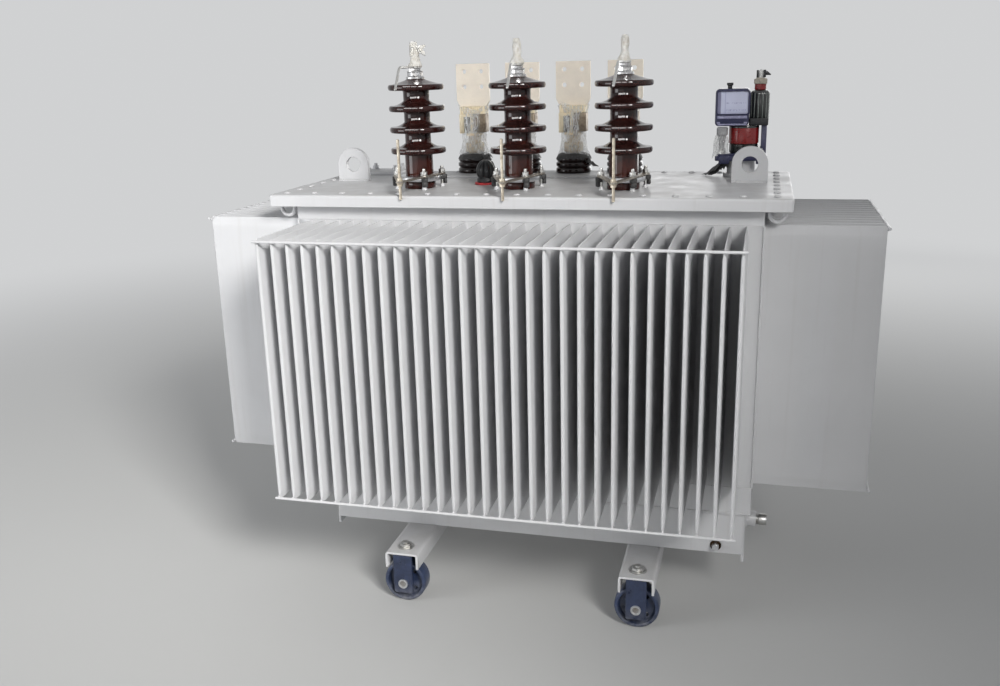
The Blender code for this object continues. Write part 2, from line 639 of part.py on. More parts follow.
# Low-voltage bushings
for n in range(4):
    x = LV_X + (n - 1.5) * LV_PITCH
    tag = n + 1
    z0 = plate_top + SEAT
    r = LV_BASE_R
    h = LV_BASE_H
    profile = [(0, 0), (r, 0), (r, 0.014), (r - 0.006, 0.018), (r, 0.022), (r, 0.031),
               (r - 0.006, 0.035), (r, 0.039), (r - 0.002, h - 0.006), (r - 0.014, h), (0, h)]
    turned(f"lv_insulator_{tag}", profile, PORCELAIN, (x, lv_y, z0), "Z", 16)

    low = h + SEAT
    stem = [(0, low), (LV_NUT_R + 0.006, low), (LV_NUT_R + 0.006, low + 0.006), (LV_NUT_R, low + 0.008),
            (LV_NUT_R, LV_NUT_TOP), (LV_STEM_R, LV_NUT_TOP + 0.002), (LV_STEM_R, PALM_LOW), (0, PALM_LOW)]
    terminal = turned(f"lv_terminal_{tag}", stem, TINNED, (x, lv_y, z0), "Z", SMALL_ROUND)
    clamp = block(f"join_clamp_{tag}", (x - CLAMP_BLOCK_W / 2, lv_y - CLAMP_BLOCK_D / 2, z0 + CLAMP_BLOCK_LOW),
                  (x + CLAMP_BLOCK_W / 2, lv_y + CLAMP_BLOCK_D / 2, z0 + PALM_LOW + 0.004), TINNED, True)
    join(terminal, clamp)
    palm_low, palm_top, half = z0 + PALM_LOW, z0 + PALM_TOP, PALM_W / 2
    palm_outline = [(x - half + PALM_CHAMFER, palm_low), (x + half - PALM_CHAMFER, palm_low),
                    (x + half, palm_low + 2 * PALM_CHAMFER), (x + half, palm_top), (x - half, palm_top),
                    (x - half, palm_low + 2 * PALM_CHAMFER)]
    palm = prism(f"join_palm_{tag}", palm_outline, lv_y - PALM_T / 2, lv_y + PALM_T / 2, TINNED, True)
    join(terminal, palm)
    for k, dz in enumerate(PALM_HOLE_Z):
        for side in (-1, 1):
            hx = x + side * PALM_HOLE_DX
            hole = rod(f"cut_palm_{tag}_{k}_{side + 1}", (hx, lv_y - PALM_T, z0 + dz),
                       (hx, lv_y + PALM_T, z0 + dz), PALM_HOLE_R, TINNED, "Y", 12, True)
            cut(terminal, hole)

# Small fittings
z0 = COVER_TOP + SEAT
turned("tap_changer_cap", [(0, 0), (TAP_FLARE_R, 0), (TAP_FLARE_R, 0.008), (TAP_FLARE_R * 0.75, 0.030),
                           (TAP_TOP_R * 1.15, 0.050), (TAP_TOP_R, TAP_H), (0, TAP_H)],
       BLACK, (*TAP_XY, z0), "Z", 16)

rx, ry = cover_l - RELAY_INSET[0], cover_w - RELAY_INSET[1]
bw, bd, bh = RELAY_BASE
neck = turned("relay_base", [(0, 0), (RELAY_NECK_R, 0), (RELAY_NECK_R, RELAY_NECK_H), (0, RELAY_NECK_H)],
              RELAY_BLUE, (rx, ry, z0), "Z", 16)
foot = block("join_relay_foot", (rx - bw / 2, ry - bd / 2, z0 + RELAY_NECK_H - 0.002),
             (rx + bw / 2, ry + bd / 2, z0 + RELAY_NECK_H + bh), RELAY_BLUE, True)
join(neck, foot)
float_low = RELAY_NECK_H + bh + SEAT
float_top = RELAY_HEAD_Z + RELAY_SHOULDER
chamber = turned("relay_head", [(0, float_low), (RELAY_FLOAT_R, float_low), (RELAY_FLOAT_R, float_top),
                                (0, float_top)], RELAY_BLUE, (rx, ry, z0), "Z", 16)
hw, hd, hh = RELAY_HEAD
head_x = rx + RELAY_HEAD_SHIFT
head = block("join_relay_head", (head_x - hw / 2, ry - hd / 2, z0 + RELAY_HEAD_Z),
             (head_x + hw / 2, ry + hd / 2, z0 + RELAY_HEAD_Z + hh), RELAY_BLUE, True)
join(chamber, head)
side_x = rx + RELAY_SIDE_SHIFT
side_low = RELAY_HEAD_Z + RELAY_OVERLAP
side_top = side_low + hh
column = turned("join_relay_side", [(0, side_low), (RELAY_SIDE_R, side_low), (RELAY_SIDE_R, side_top),
                (RELAY_SIDE_R * 0.6, side_top + RELAY_SHOULDER), (RELAY_SIDE_R * 0.6, RELAY_TOP_Z),
                (0, RELAY_TOP_Z)], RELAY_BLUE, (side_x, ry, z0), "Z", 12, True)
join(chamber, column)

drain_x = base_right + SEAT
turned("drain_valve", [(0, 0), (DRAIN_COLLAR_R, 0), (DRAIN_COLLAR_R, DRAIN_COLLAR_L),
                       (DRAIN_PIPE_R, DRAIN_COLLAR_L), (DRAIN_PIPE_R, DRAIN_LENGTH), (0, DRAIN_LENGTH)],
       GREY_PAINT, (drain_x, DRAIN_Y, DRAIN_Z), "X", SMALL_ROUND)
earth_y = -base_w - SEAT
turned("earth_stud", [(0, -EARTH_L), (EARTH_R, -EARTH_L), (EARTH_R, 0), (0, 0)], ZINC,
       (base_right - EARTH_INSET, earth_y, EARTH_Z), "Y", 6)
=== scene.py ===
# %% [markdown]
# # A distribution transformer, dressed cell by cell
# The solids of this transformer already exist: tank, cover, folded fins, bushings and rollers, all at
# their real size.  This lesson gives them the looks.  Round and thin things are worked out again as
# smooth surfaces, each finish is made from procedural nodes, and small hardware that is too fine for
# the solids is added here.  Everything is in metres: X runs along the long side, the high-voltage
# bushings face -Y, and Z is up.

# %% Load the frame
import math

import bmesh
import bpy
from mathutils import Matrix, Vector
import numpy as np


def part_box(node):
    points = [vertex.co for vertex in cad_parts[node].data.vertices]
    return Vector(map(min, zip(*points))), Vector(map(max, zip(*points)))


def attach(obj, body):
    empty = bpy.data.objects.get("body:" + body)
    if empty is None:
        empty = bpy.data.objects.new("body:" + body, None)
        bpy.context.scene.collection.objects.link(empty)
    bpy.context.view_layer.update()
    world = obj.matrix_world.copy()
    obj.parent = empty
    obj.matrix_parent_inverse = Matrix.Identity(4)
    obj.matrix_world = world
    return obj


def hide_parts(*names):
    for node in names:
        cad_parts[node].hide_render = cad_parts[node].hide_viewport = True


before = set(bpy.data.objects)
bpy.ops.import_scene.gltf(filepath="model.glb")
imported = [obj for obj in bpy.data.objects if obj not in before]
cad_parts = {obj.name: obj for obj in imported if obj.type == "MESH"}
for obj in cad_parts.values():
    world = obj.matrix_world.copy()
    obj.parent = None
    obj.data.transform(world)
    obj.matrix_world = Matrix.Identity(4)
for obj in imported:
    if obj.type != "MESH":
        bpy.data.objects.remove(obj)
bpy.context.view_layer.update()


# %% [markdown]
# ## Surfaces from numpy
# A turned insulator, a folded sheet and a bent strap look different, but each is a grid of points: one
# index runs round or along, the other runs across.  So the whole model needs only a few helpers.  One
# makes the four-cornered faces of a grid, one merges points that meet (a seam or a pole), and one turns
# a closed shell so that it faces outward.  Typing vertices by hand would be slower and harder to change.

# %% Grid faces and patches
def grid(x, y, z):
    """Points from three coordinate arrays, each spread over the shape of the others."""
    return np.stack(np.broadcast_arrays(x, y, z), axis=-1)


def pairs(count, closed):
    """Index of each sample and of the next one; when closed the last one meets the first."""
    here = np.arange(count if closed else count - 1)
    return here, (here + 1) % count


def surface(points, rows_closed=False, columns_closed=True):
    """Points of shape (rows, columns, 3) become one patch: the flat list of points and its quads."""
    rows, columns = points.shape[:2]
    i, i_next = pairs(rows, rows_closed)
    j, j_next = pairs(columns, columns_closed)
    i, i_next = i[:, None] * columns, i_next[:, None] * columns
    quads = np.stack([i + j, i_next + j, i_next + j_next, i + j_next], axis=-1)
    return points.reshape(-1, 3), quads.reshape(-1, 4)


def together(*patches):
    """Several patches as one: the faces of each are counted on from the points before it."""
    starts = np.cumsum([0] + [len(points) for points, _ in patches[:-1]])
    return (np.concatenate([points for points, _ in patches]),
            np.concatenate([quads + start for (_, quads), start in zip(patches, starts)]))


def outward(patch):
    """Volume by the divergence rule, a sum of triple products; if it is negative the faces turn over."""
    points, quads = patch
    a, b, c, d = (points[quads[:, k]] for k in range(4))
    volume = (np.einsum("ij,ij->i", a, np.cross(b, c)) + np.einsum("ij,ij->i", a, np.cross(c, d))).sum()
    return (points, quads[:, ::-1]) if volume < 0 else patch


def copies(patch, places):
    """The patch again at every place: points plus each offset, faces counted on."""
    points, quads = patch
    places = np.atleast_2d(np.asarray(places, float))
    many = (points[None] + places[:, None]).reshape(-1, 3)
    counted = quads[None] + (np.arange(len(places)) * len(points))[:, None, None]
    return many, counted.reshape(-1, 4)


def turned(patch, degrees, axis="Z", about=(0, 0, 0)):
    """The patch turned about a line along one axis: x' = x cos a - y sin a, y' = x sin a + y cos a."""
    points, quads = patch
    first, second = {"Z": (0, 1), "X": (1, 2), "Y": (2, 0)}[axis]
    c, s = math.cos(math.radians(degrees)), math.sin(math.radians(degrees))
    moved = points - np.asarray(about, float)
    result = moved.copy()
    result[:, first] = c * moved[:, first] - s * moved[:, second]
    result[:, second] = s * moved[:, first] + c * moved[:, second]
    return result + np.asarray(about, float), quads


# %% [markdown]
# Blender wants flat lists, and `foreach_set` takes them straight from numpy.  Points closer than a
# hundredth of a millimetre are made one, so that seams close and the pole of a turned shape is a single
# point; a quad that lost a corner there becomes a triangle.

# %% From a patch to a Blender object
MERGE = 1e-5


def put(name, patch, finish, body="body", stands_for="", smooth=40, modifiers=(), mend=False,
        at=(0, 0, 0)):
    """Move by at, merge, build the mesh, shade it smooth below an angle, give it a finish, let it ride.

    With mend, Blender makes the faces of a patchwork agree on which side is out.
    """
    points, quads = patch[0] + np.asarray(at, float), patch[1]
    keys = np.round(points / MERGE).astype(np.int64)
    _, first, inverse = np.unique(keys, axis=0, return_index=True, return_inverse=True)
    points, quads = points[first], inverse.reshape(-1)[quads]
    kept = quads != np.roll(quads, 1, axis=1)
    crossed = (quads[:, 0] == quads[:, 2]) | (quads[:, 1] == quads[:, 3])
    good = (kept.sum(axis=1) >= 3) & ~crossed
    quads, kept = quads[good], kept[good]
    sizes = kept.sum(axis=1)
    mesh = bpy.data.meshes.new(name)
    mesh.vertices.add(len(points))
    mesh.vertices.foreach_set("co", points.astype(np.float32).ravel())
    mesh.loops.add(int(sizes.sum()))
    mesh.loops.foreach_set("vertex_index", quads[kept].astype(np.int32))
    mesh.polygons.add(len(sizes))
    mesh.polygons.foreach_set("loop_start", np.concatenate([[0], np.cumsum(sizes)[:-1]]).astype(np.int32))
    mesh.polygons.foreach_set("use_smooth", np.ones(len(sizes), bool))
    mesh.update(calc_edges=True)
    mesh.validate()
    if mend:
        agree = bmesh.new()
        agree.from_mesh(mesh)
        bmesh.ops.recalc_face_normals(agree, faces=agree.faces)
        agree.to_mesh(mesh)
        agree.free()
    mesh.set_sharp_from_angle(angle=math.radians(smooth))
    mesh.materials.append(finish)
    made = bpy.data.objects.new(name, mesh)
    bpy.context.scene.collection.objects.link(made)
    for kind, settings in modifiers:
        step = made.modifiers.new(kind.lower(), kind)
        for key, value in settings.items():
            setattr(step, key, value)
    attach(made, body)
    if stands_for:
        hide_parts(stands_for)
    print(f"{name}: {len(points)} points, {len(sizes)} faces")
    return made


# %% [markdown]
# ## Three ways to draw a shape
# A lathe turns a profile, a carried section follows a path, and a stack of outlines makes plates and
# boxes with a rounded rim.  `soften` rounds the corners of any line of points with a short curve,
# because no edge of a painted or cast piece is knife sharp and only a rounded edge catches the light.

# %% Rounding corners
def soften(corners, radius, closed=True, steps=4):
    """Each corner P becomes the curve (1-s)^2 A + 2 s (1-s) P + s^2 B, with A and B radius away from P."""
    corners = np.asarray(corners, float)
    radius = np.broadcast_to(np.asarray(radius, float), (len(corners),))
    before = np.roll(corners, 1, axis=0) - corners
    after = np.roll(corners, -1, axis=0) - corners
    reach_a, reach_b = np.linalg.norm(before, axis=1), np.linalg.norm(after, axis=1)
    size_a = np.minimum(radius, reach_a * 0.49) / np.maximum(reach_a, 1e-9)
    size_b = np.minimum(radius, reach_b * 0.49) / np.maximum(reach_b, 1e-9)
    start = corners + before * size_a[:, None]
    end = corners + after * size_b[:, None]
    s = np.linspace(0, 1, steps + 1)[None, :, None]
    curve = (1 - s) ** 2 * start[:, None] + 2 * s * (1 - s) * corners[:, None] + s ** 2 * end[:, None]
    if closed:
        return curve.reshape(-1, corners.shape[1])
    inner = curve[1:-1].reshape(-1, corners.shape[1])
    return np.concatenate([corners[:1], inner, corners[-1:]])


def rounded_rectangle(half_x, half_y, radius, steps=4):
    """Outline points of a rectangle with round corners, for one size or a column of sizes."""
    half_x, half_y, radius = (np.atleast_1d(np.asarray(v, float))[:, None] for v in (half_x, half_y, radius))
    radius = np.minimum(radius, np.minimum(half_x, half_y))
    a = np.linspace(0, math.pi / 2, steps + 1)
    a = np.concatenate([a + k * math.pi / 2 for k in range(4)])
    sign_x = np.repeat([1, -1, -1, 1], steps + 1)
    sign_y = np.repeat([1, 1, -1, -1], steps + 1)
    return np.stack([sign_x * (half_x - radius) + radius * np.cos(a),
                     sign_y * (half_y - radius) + radius * np.sin(a)], axis=-1)


def along(axis, u, v, w):
    """Lay (u, v) flat and w upright: w goes to X, Y or Z."""
    return grid(*{"Z": (u, v, w), "Y": (u, w, v), "X": (w, u, v)}[axis])


def directions(count):
    """Angles evenly round the circle."""
    return np.arange(count) * 2 * math.pi / count


def spun(r, a):
    """Flat points (r cos a, r sin a)."""
    return np.stack([r * np.cos(a), r * np.sin(a)], axis=-1)


def mm(*rows):
    """Rows of a profile, given in millimetres."""
    return np.array(rows) / 1000


# %% Lathe, box and plate
def lathe(profile, sides=48, place=(0, 0, 0), axis="Z", closed=False, ripple=None):
    """Profile (radius, height) turned about an axis: (r cos a, r sin a, h), with r scaled by ripple(a)."""
    profile = np.asarray(profile, float)
    a = directions(sides)
    wave = np.ones(sides) if ripple is None else ripple(a)
    r = profile[:, :1] * wave
    points = along(axis, r * np.cos(a), r * np.sin(a), profile[:, 1:]) + np.asarray(place, float)
    return outward(surface(points, rows_closed=closed))


def boxed(centre, half_x, half_y, radius, profile, axis="Z"):
    """Rounded rectangles stacked along an axis; profile rows are (inset, height).

    Each row is the outline moved in by its inset; the first and last rows shrink to a point, which
    closes the shape.
    """
    profile = np.asarray(profile, float)
    inset, height = profile[:, 0], profile[:, 1]
    outline = rounded_rectangle(half_x - inset, half_y - inset, np.maximum(radius - inset, radius * 0.35))
    rows = np.concatenate([outline[:1] * 0, outline, outline[-1:] * 0])
    height = np.concatenate([height[:1], height, height[-1:]])
    points = along(axis, rows[..., 0], rows[..., 1], height[:, None]) + np.asarray(centre, float)
    return outward(surface(points))


def brick(low, high, radius=0.002, edge=0.001, axis="Z"):
    """A box between two corners with soft edges."""
    low, high = np.asarray(low, float), np.asarray(high, float)
    u, v, w = {"Z": (0, 1, 2), "Y": (0, 2, 1), "X": (1, 2, 0)}[axis]
    centre = (low + high) / 2
    half = (high - low) / 2
    edge = min(edge, half[w] * 0.9)
    profile = [(edge, -half[w]), (edge * 0.3, -half[w] + edge * 0.3), (0, -half[w] + edge),
               (0, half[w] - edge), (edge * 0.3, half[w] - edge * 0.3), (edge, half[w])]
    return boxed(centre, half[u], half[v], radius, profile, axis)


def plate(outline, low, high, axis="Z", edge=0.0008, place=(0, 0, 0)):
    """A star-shaped outline made thick; its rim is drawn in by edge so that it catches the light."""
    outline = np.asarray(outline, float)
    middle = outline.mean(axis=0)
    ahead = np.roll(outline, -1, axis=0) - np.roll(outline, 1, axis=0)
    side = np.stack([ahead[:, 1], -ahead[:, 0]], axis=-1)
    side /= np.maximum(np.linalg.norm(side, axis=1, keepdims=True), 1e-9)
    side *= np.sign((side * (outline - middle)).sum())
    inner = outline - side * edge
    dot = np.repeat(middle[None], len(outline), axis=0)
    rows = np.stack([dot, inner, outline, outline, inner, dot])
    height = np.array([low, low, low + edge, high - edge, high, high])[:, None]
    points = along(axis, rows[..., 0], rows[..., 1], height) + np.asarray(place, float)
    return outward(surface(points))


# %% Carried section, holed plate and bolt
def carried(section, path, side, scale=None):
    """A closed section carried along a path.

    At each path point the frame is: t, the direction of travel; n, the given side made square to t; and
    b = t x n.  A point is path + scale (u n + v b).  The ends shrink to a point, which closes them.
    """
    section, path = np.asarray(section, float), np.asarray(path, float)
    scale = np.ones(len(path)) if scale is None else np.asarray(scale, float)
    t = np.gradient(path, axis=0)
    t /= np.linalg.norm(t, axis=1, keepdims=True)
    n = np.asarray(side, float) - t * (t @ np.asarray(side, float))[:, None]
    n /= np.linalg.norm(n, axis=1, keepdims=True)
    b = np.cross(t, n)
    path, n, b = (np.concatenate([v[:1], v, v[-1:]]) for v in (path, n, b))
    scale = np.concatenate([[0], scale, [0]])
    u, v = section[:, 0][None, :, None], section[:, 1][None, :, None]
    points = path[:, None] + scale[:, None, None] * (u * n[:, None] + v * b[:, None])
    return outward(surface(points))


def circle(radius, sides=12):
    """Points of a circle."""
    return spun(radius, directions(sides))


def holed(outline, centre, hole, low, high, axis="Z", edge=0.001):
    """A plate with a round hole.

    The outline is sampled by direction from the hole's centre, so each outline point has a partner on
    the hole; the section between them is a flat loop with its four corners cut by edge.
    """
    outline, centre = np.asarray(outline, float), np.asarray(centre, float)
    ray = outline - centre
    far = np.linalg.norm(ray, axis=1)
    ray = ray / far[:, None]
    reach = [hole + edge, far - edge, far, far, far - edge, hole + edge, hole, hole]
    height = [high, high, high - edge, low + edge, low, low, low + edge, high - edge]
    flat = np.stack([centre + ray * np.broadcast_to(r, far.shape)[:, None] for r in reach])
    points = along(axis, flat[..., 0], flat[..., 1], np.array(height)[:, None])
    return outward(surface(points, rows_closed=True))


def hexagon(across):
    """Corner points of a nut, from its width across the flats, with slightly rounded corners."""
    radius = across / 2 / math.cos(math.pi / 6)
    return soften(spun(radius, directions(6) + math.pi / 6), across * 0.04, steps=2)


def threads(radius, depth, low, pitch, count):
    """Rows of a screw thread for the lathe: every second row steps in by the depth."""
    k = np.arange(count)
    return np.stack([radius - depth * (k % 2), low + pitch * k], axis=-1)


def bolt(place, across, head, thread=0.0, axis="Z", washer=0.0):
    """Washer, hexagon head or nut, and the thread that stands out of it, one above the other."""
    parts = []
    sign = 1.0 if head > 0 else -1.0
    start = 0.0
    if washer:
        thick, r = 0.0024, washer / 2
        rim = [(0, 0), (r - 0.0005, 0), (r, 0.0005), (r, 0.0018), (r - 0.0006, thick), (0, thick)]
        parts.append(lathe(np.array(rim) * [1, sign], 24, place, axis))
        start = thick * sign
    low, high = sorted([start, start + head])
    parts.append(plate(hexagon(across), low, high, axis, across * 0.045, place))
    if thread:
        tip = start + head
        height = np.linspace(0, thread, 9)
        radius = across * 0.3 * (1 - 0.07 * (np.arange(9) % 2))
        profile = np.stack([np.concatenate([[0], radius, [0]]),
                            tip + sign * np.concatenate([[0], height, [thread]])], axis=-1)
        parts.append(lathe(profile, 16, place, axis))
    return together(*parts)


print("helpers ready")

# %% [markdown]
# ## Camera
# The viewpoint was worked out from the rims, fins and rollers: a little right of the middle, about
# 1.5 m up, turned 15 degrees to the left, looking down by almost 16 degrees and rolled by 1.5.  The
# lens is given by the angle of view, so no shift is needed.

# %% Place the camera
def look(azimuth, pitch, roll):
    """Camera axes from three angles: forward from azimuth and pitch, then right and up turned by roll."""
    az, el, ro = (math.radians(v) for v in (azimuth, pitch, roll))
    ahead = np.array([math.sin(az) * math.cos(el), math.cos(az) * math.cos(el), math.sin(el)])
    right = np.cross(ahead, [0, 0, 1])
    right /= np.linalg.norm(right)
    up = np.cross(right, ahead)
    return right * math.cos(ro) + up * math.sin(ro), up * math.cos(ro) - right * math.sin(ro), ahead


SENSOR = 36.0
LENS_PER_WIDTH = 0.9783
CAMERA_PLACE = (0.635, -2.831, 1.493)
camera_data = bpy.data.cameras.new("view")
camera_data.sensor_width = SENSOR
camera_data.lens = LENS_PER_WIDTH * SENSOR
camera_data.clip_start, camera_data.clip_end = 0.05, 200.0
camera = bpy.data.objects.new("view", camera_data)
bpy.context.scene.collection.objects.link(camera)
right, up, ahead = look(azimuth=-15.18, pitch=-15.80, roll=-1.50)
axes = np.stack([right, up, -ahead], axis=1)
camera.matrix_world = Matrix([[*row, place] for row, place in zip(axes, CAMERA_PLACE)] + [[0, 0, 0, 1]])
bpy.context.scene.camera = camera
print("lens", round(camera_data.lens, 2), "mm")


# %% [markdown]
# ## Nodes in few words
# Floor, backdrop and finishes are all made of shader nodes.  A socket knows the tree it belongs to, so a
# helper needs only the sockets and numbers that it joins.  Each one adds a node and returns its output,
# so a finish further down reads like a sum.

# %% Node helpers
def fill(socket, value):
    """Link a result into a socket, or set a plain value there; a colour gets its alpha of 1."""
    if isinstance(value, bpy.types.NodeSocket):
        socket.id_data.links.new(value, socket)
    else:
        socket.default_value = (*value, 1) if socket.type == "RGBA" else value


def feed(made, **settings):
    """Fill a node's sockets by name; a setting that is no socket is a property of the node."""
    for key, value in settings.items():
        name = key.replace("_", " ")
        if name in made.inputs:
            fill(made.inputs[name], value)
        else:
            setattr(made, key, value)
    return made


def add_node(tree, kind, **settings):
    """A new node with its settings."""
    return feed(tree.nodes.new("ShaderNode" + kind), **settings)


def calc(operation, a, b=0.5, clamp=False):
    """One sum of a socket and a number or another socket."""
    made = add_node(a.id_data, "Math", operation=operation, use_clamp=clamp)
    fill(made.inputs[0], a)
    fill(made.inputs[1], b)
    return made.outputs[0]


def times(a, b, clamp=False):
    """The product a b."""
    return calc("MULTIPLY", a, b, clamp)


def plus(a, b, clamp=False):
    """The sum a + b."""
    return calc("ADD", a, b, clamp)


def distance(a, b):
    """The size of a - b."""
    return calc("ABSOLUTE", calc("SUBTRACT", a, b))


def ramp(value, low, high, to_low=0.0, to_high=1.0):
    """Map the range low to high onto another range, and hold it there."""
    return add_node(value.id_data, "MapRange", Value=value, From_Min=low, From_Max=high,
                    To_Min=to_low, To_Max=to_high).outputs[0]


def tint(factor, first, second):
    """Mix two colours by a factor; the colour sockets of the node are its seventh and eighth."""
    made = add_node(factor.id_data, "Mix", data_type="RGBA")
    for slot, value in ((0, factor), (6, first), (7, second)):
        fill(made.inputs[slot], value)
    return made.outputs[2]


def noise(where, scale, detail=3.0, rough=0.55, distortion=0.0):
    """Smooth random values round 0.5 at a given number of waves per metre."""
    return add_node(where.id_data, "TexNoise", Vector=where, Scale=scale, Detail=detail, Roughness=rough,
                    Distortion=distortion).outputs[0]


def streaks(where, scale, detail=4, rough=0.6, distortion=0.0):
    """Noise with its own number of waves along each axis, for streaks and brushed lines."""
    place = add_node(where.id_data, "Mapping", Vector=where, Scale=scale).outputs[0]
    return noise(place, 1.0, detail, rough, distortion)


def cells(where, scale):
    """Distance to the nearest of scattered points, for specks."""
    return add_node(where.id_data, "TexVoronoi", Vector=where, Scale=scale).outputs["Distance"]


def part_of(vector, axis):
    """One coordinate of a place or a direction."""
    return add_node(vector.id_data, "SeparateXYZ", Vector=vector).outputs[axis]


def upward(where):
    """How far the surface faces up, from -1 to 1."""
    return part_of(add_node(where.id_data, "NewGeometry").outputs["Normal"], "Z")


def bump(height, depth, strength=1.0, **under):
    """Relief from a height, its depth in metres, laid over another relief if one is given."""
    return add_node(height.id_data, "Bump", Height=height, Distance=depth, Strength=strength,
                    **under).outputs[0]


def shade(tone, factor, limit=1.0):
    """A colour made darker or lighter."""
    return [min(c * factor, limit) for c in tone]


def blank(name, **sockets):
    """A new material, its shader with some fixed values, and the Object coordinates of the surface."""
    made = bpy.data.materials.new(name)
    made.use_nodes = True
    shader = feed(made.node_tree.nodes["Principled BSDF"], **sockets)
    return made, shader, add_node(made.node_tree, "TexCoord").outputs["Object"]


# %% [markdown]
# ## Studio
# A pale floor and four soft lamps show shape and gloss without hard shadows: a gridded key from the
# front right, a broad one that lights the left side, a weak fill and a light from behind.  A fifth lamp
# is a long band that only the glazed sheds receive, as a strip box would be flagged off the paint, and
# the light from behind leaves those sheds out, so that their highlights stay thin lines.  The world is a
# pale grey that fills the shadows.  What the camera sees behind the object is a pale backdrop chosen
# with Light Path, and the floor fades into it with distance, so no horizon line shows.

# %% Floor and world
PALE, PALE_GLOW = (0.93, 0.94, 0.95), 0.68
FADE_NEAR, FADE_FAR = 1.4, 6.5
FLOOR_HALF = 60


def seen_directly(tree):
    """1 for camera, glossy and transmission rays, 0 for the rays that carry light between surfaces."""
    rays = add_node(tree, "LightPath").outputs
    return calc("MAXIMUM", calc("MAXIMUM", rays["Is Camera Ray"], rays["Is Glossy Ray"]),
                rays["Is Transmission Ray"])


def choose(tree, share, first, second, output):
    """Show the first shader where the share is 0 and the second where it is 1."""
    chosen = tree.nodes.new("ShaderNodeMixShader")
    for slot, value in enumerate((share, first.outputs[0], second.outputs[0])):
        tree.links.new(value, chosen.inputs[slot])
    tree.links.new(chosen.outputs[0], tree.nodes[output].inputs["Surface"])


floor_coat, shader, where = blank("floor_pale", Base_Color=(0.60, 0.60, 0.59), Roughness=0.75)
tree = floor_coat.node_tree
away = add_node(tree, "VectorMath", operation="LENGTH", Vector=where).outputs["Value"]
fade = add_node(tree, "MapRange", interpolation_type="SMOOTHSTEP", Value=away, From_Min=FADE_NEAR,
                From_Max=FADE_FAR).outputs[0]
backdrop = add_node(tree, "Emission", Color=PALE, Strength=PALE_GLOW)
choose(tree, times(fade, seen_directly(tree)), shader, backdrop, "Material Output")

steps = np.linspace(-FLOOR_HALF, FLOOR_HALF, 5)
floor_points, floor_quads = surface(grid(steps[:, None], steps, 0.0), columns_closed=False)
floor_mesh = bpy.data.meshes.new("floor")
floor_mesh.from_pydata(floor_points.tolist(), [], floor_quads.tolist())
floor_mesh.materials.append(floor_coat)
floor = bpy.data.objects.new("floor", floor_mesh)
bpy.context.scene.collection.objects.link(floor)

world = bpy.data.worlds.new("studio")
bpy.context.scene.world = world
world.use_nodes = True
tree = world.node_tree
glow = feed(tree.nodes["Background"], Color=(0.92, 0.94, 0.97), Strength=0.29)
bright = add_node(tree, "Background", Color=PALE, Strength=PALE_GLOW)
choose(tree, seen_directly(tree), glow, bright, "World Output")
bpy.context.scene.view_settings.view_transform = "Standard"


# %% Lamps
def lamp(name, place, target, size, power, colour, spread=180):
    """An area lamp whose -Z looks from its place to the target; a small spread is a gridded box."""
    data = bpy.data.lights.new(name, "AREA")
    data.shape = "RECTANGLE"
    data.size, data.size_y = size
    data.energy = power
    data.spread = math.radians(spread)
    data.color = colour
    made = bpy.data.objects.new(name, data)
    bpy.context.scene.collection.objects.link(made)
    made.location = place
    x, y, z = np.array(target, float) - np.array(place, float)
    made.rotation_euler = (math.atan2(math.hypot(x, y), -z), 0, math.atan2(y, x) - math.pi / 2)
    return made


WARM, COOL, NEUTRAL = (1.0, 0.99, 0.97), (0.97, 0.985, 1.0), (1.0, 0.99, 0.98)
lamp("key_soft", (2.5, -3.8, 3.3), (-1.20, -0.35, 0.55), (1.3, 1.3), 21, WARM, 44)
lamp("side_soft", (-4.4, -3.1, 1.3), (-0.4, 0, 0.7), (2.6, 2.2), 92, COOL)
lamp("front_fill", (-1.7, -5.7, 1.1), (0, 0, 0.9), (4.6, 1.0), 12, NEUTRAL)
gloss_band = lamp("gloss_band", (-0.9, -5.0, 3.7), (0, 0, 1.35), (5.6, 1.6), 460, NEUTRAL)
gloss_band.visible_diffuse = False
rim_soft = lamp("rim_soft", (1.2, 5.0, 1.8), (0, 0, 0.8), (3.2, 2.4), 45, (1.0, 1.0, 1.0))
glazed = bpy.data.collections.new("glazed_pieces")
gloss_band.light_linking.receiver_collection = glazed
without_rim = bpy.data.collections.new("without_rim_light")
rim_soft.light_linking.receiver_collection = without_rim
print("studio ready")

# %% [markdown]
# ## Finishes from nodes
# Paint, glaze and plated metal differ in colour, in how sharp their gloss is and in the small relief
# that breaks it.  Every finish below reads Object coordinates, which are metres on the real thing, so a
# scale of 700 is orange peel about a millimetre and a half wide.
#
# ### Light grey paint
# The tank is sprayed with light grey enamel.  Close up it has orange peel, slow changes of tone where
# the coat is thicker, and workshop dust that lies on upward faces and runs down the sides in faint
# streaks.  Sparse scuffs show a paler, rougher coat.  Dust is mixed by the height of the surface normal.

# %% Grey enamel
LIGHT_GREY = (0.620, 0.622, 0.634)
DUST = (0.44, 0.42, 0.39)


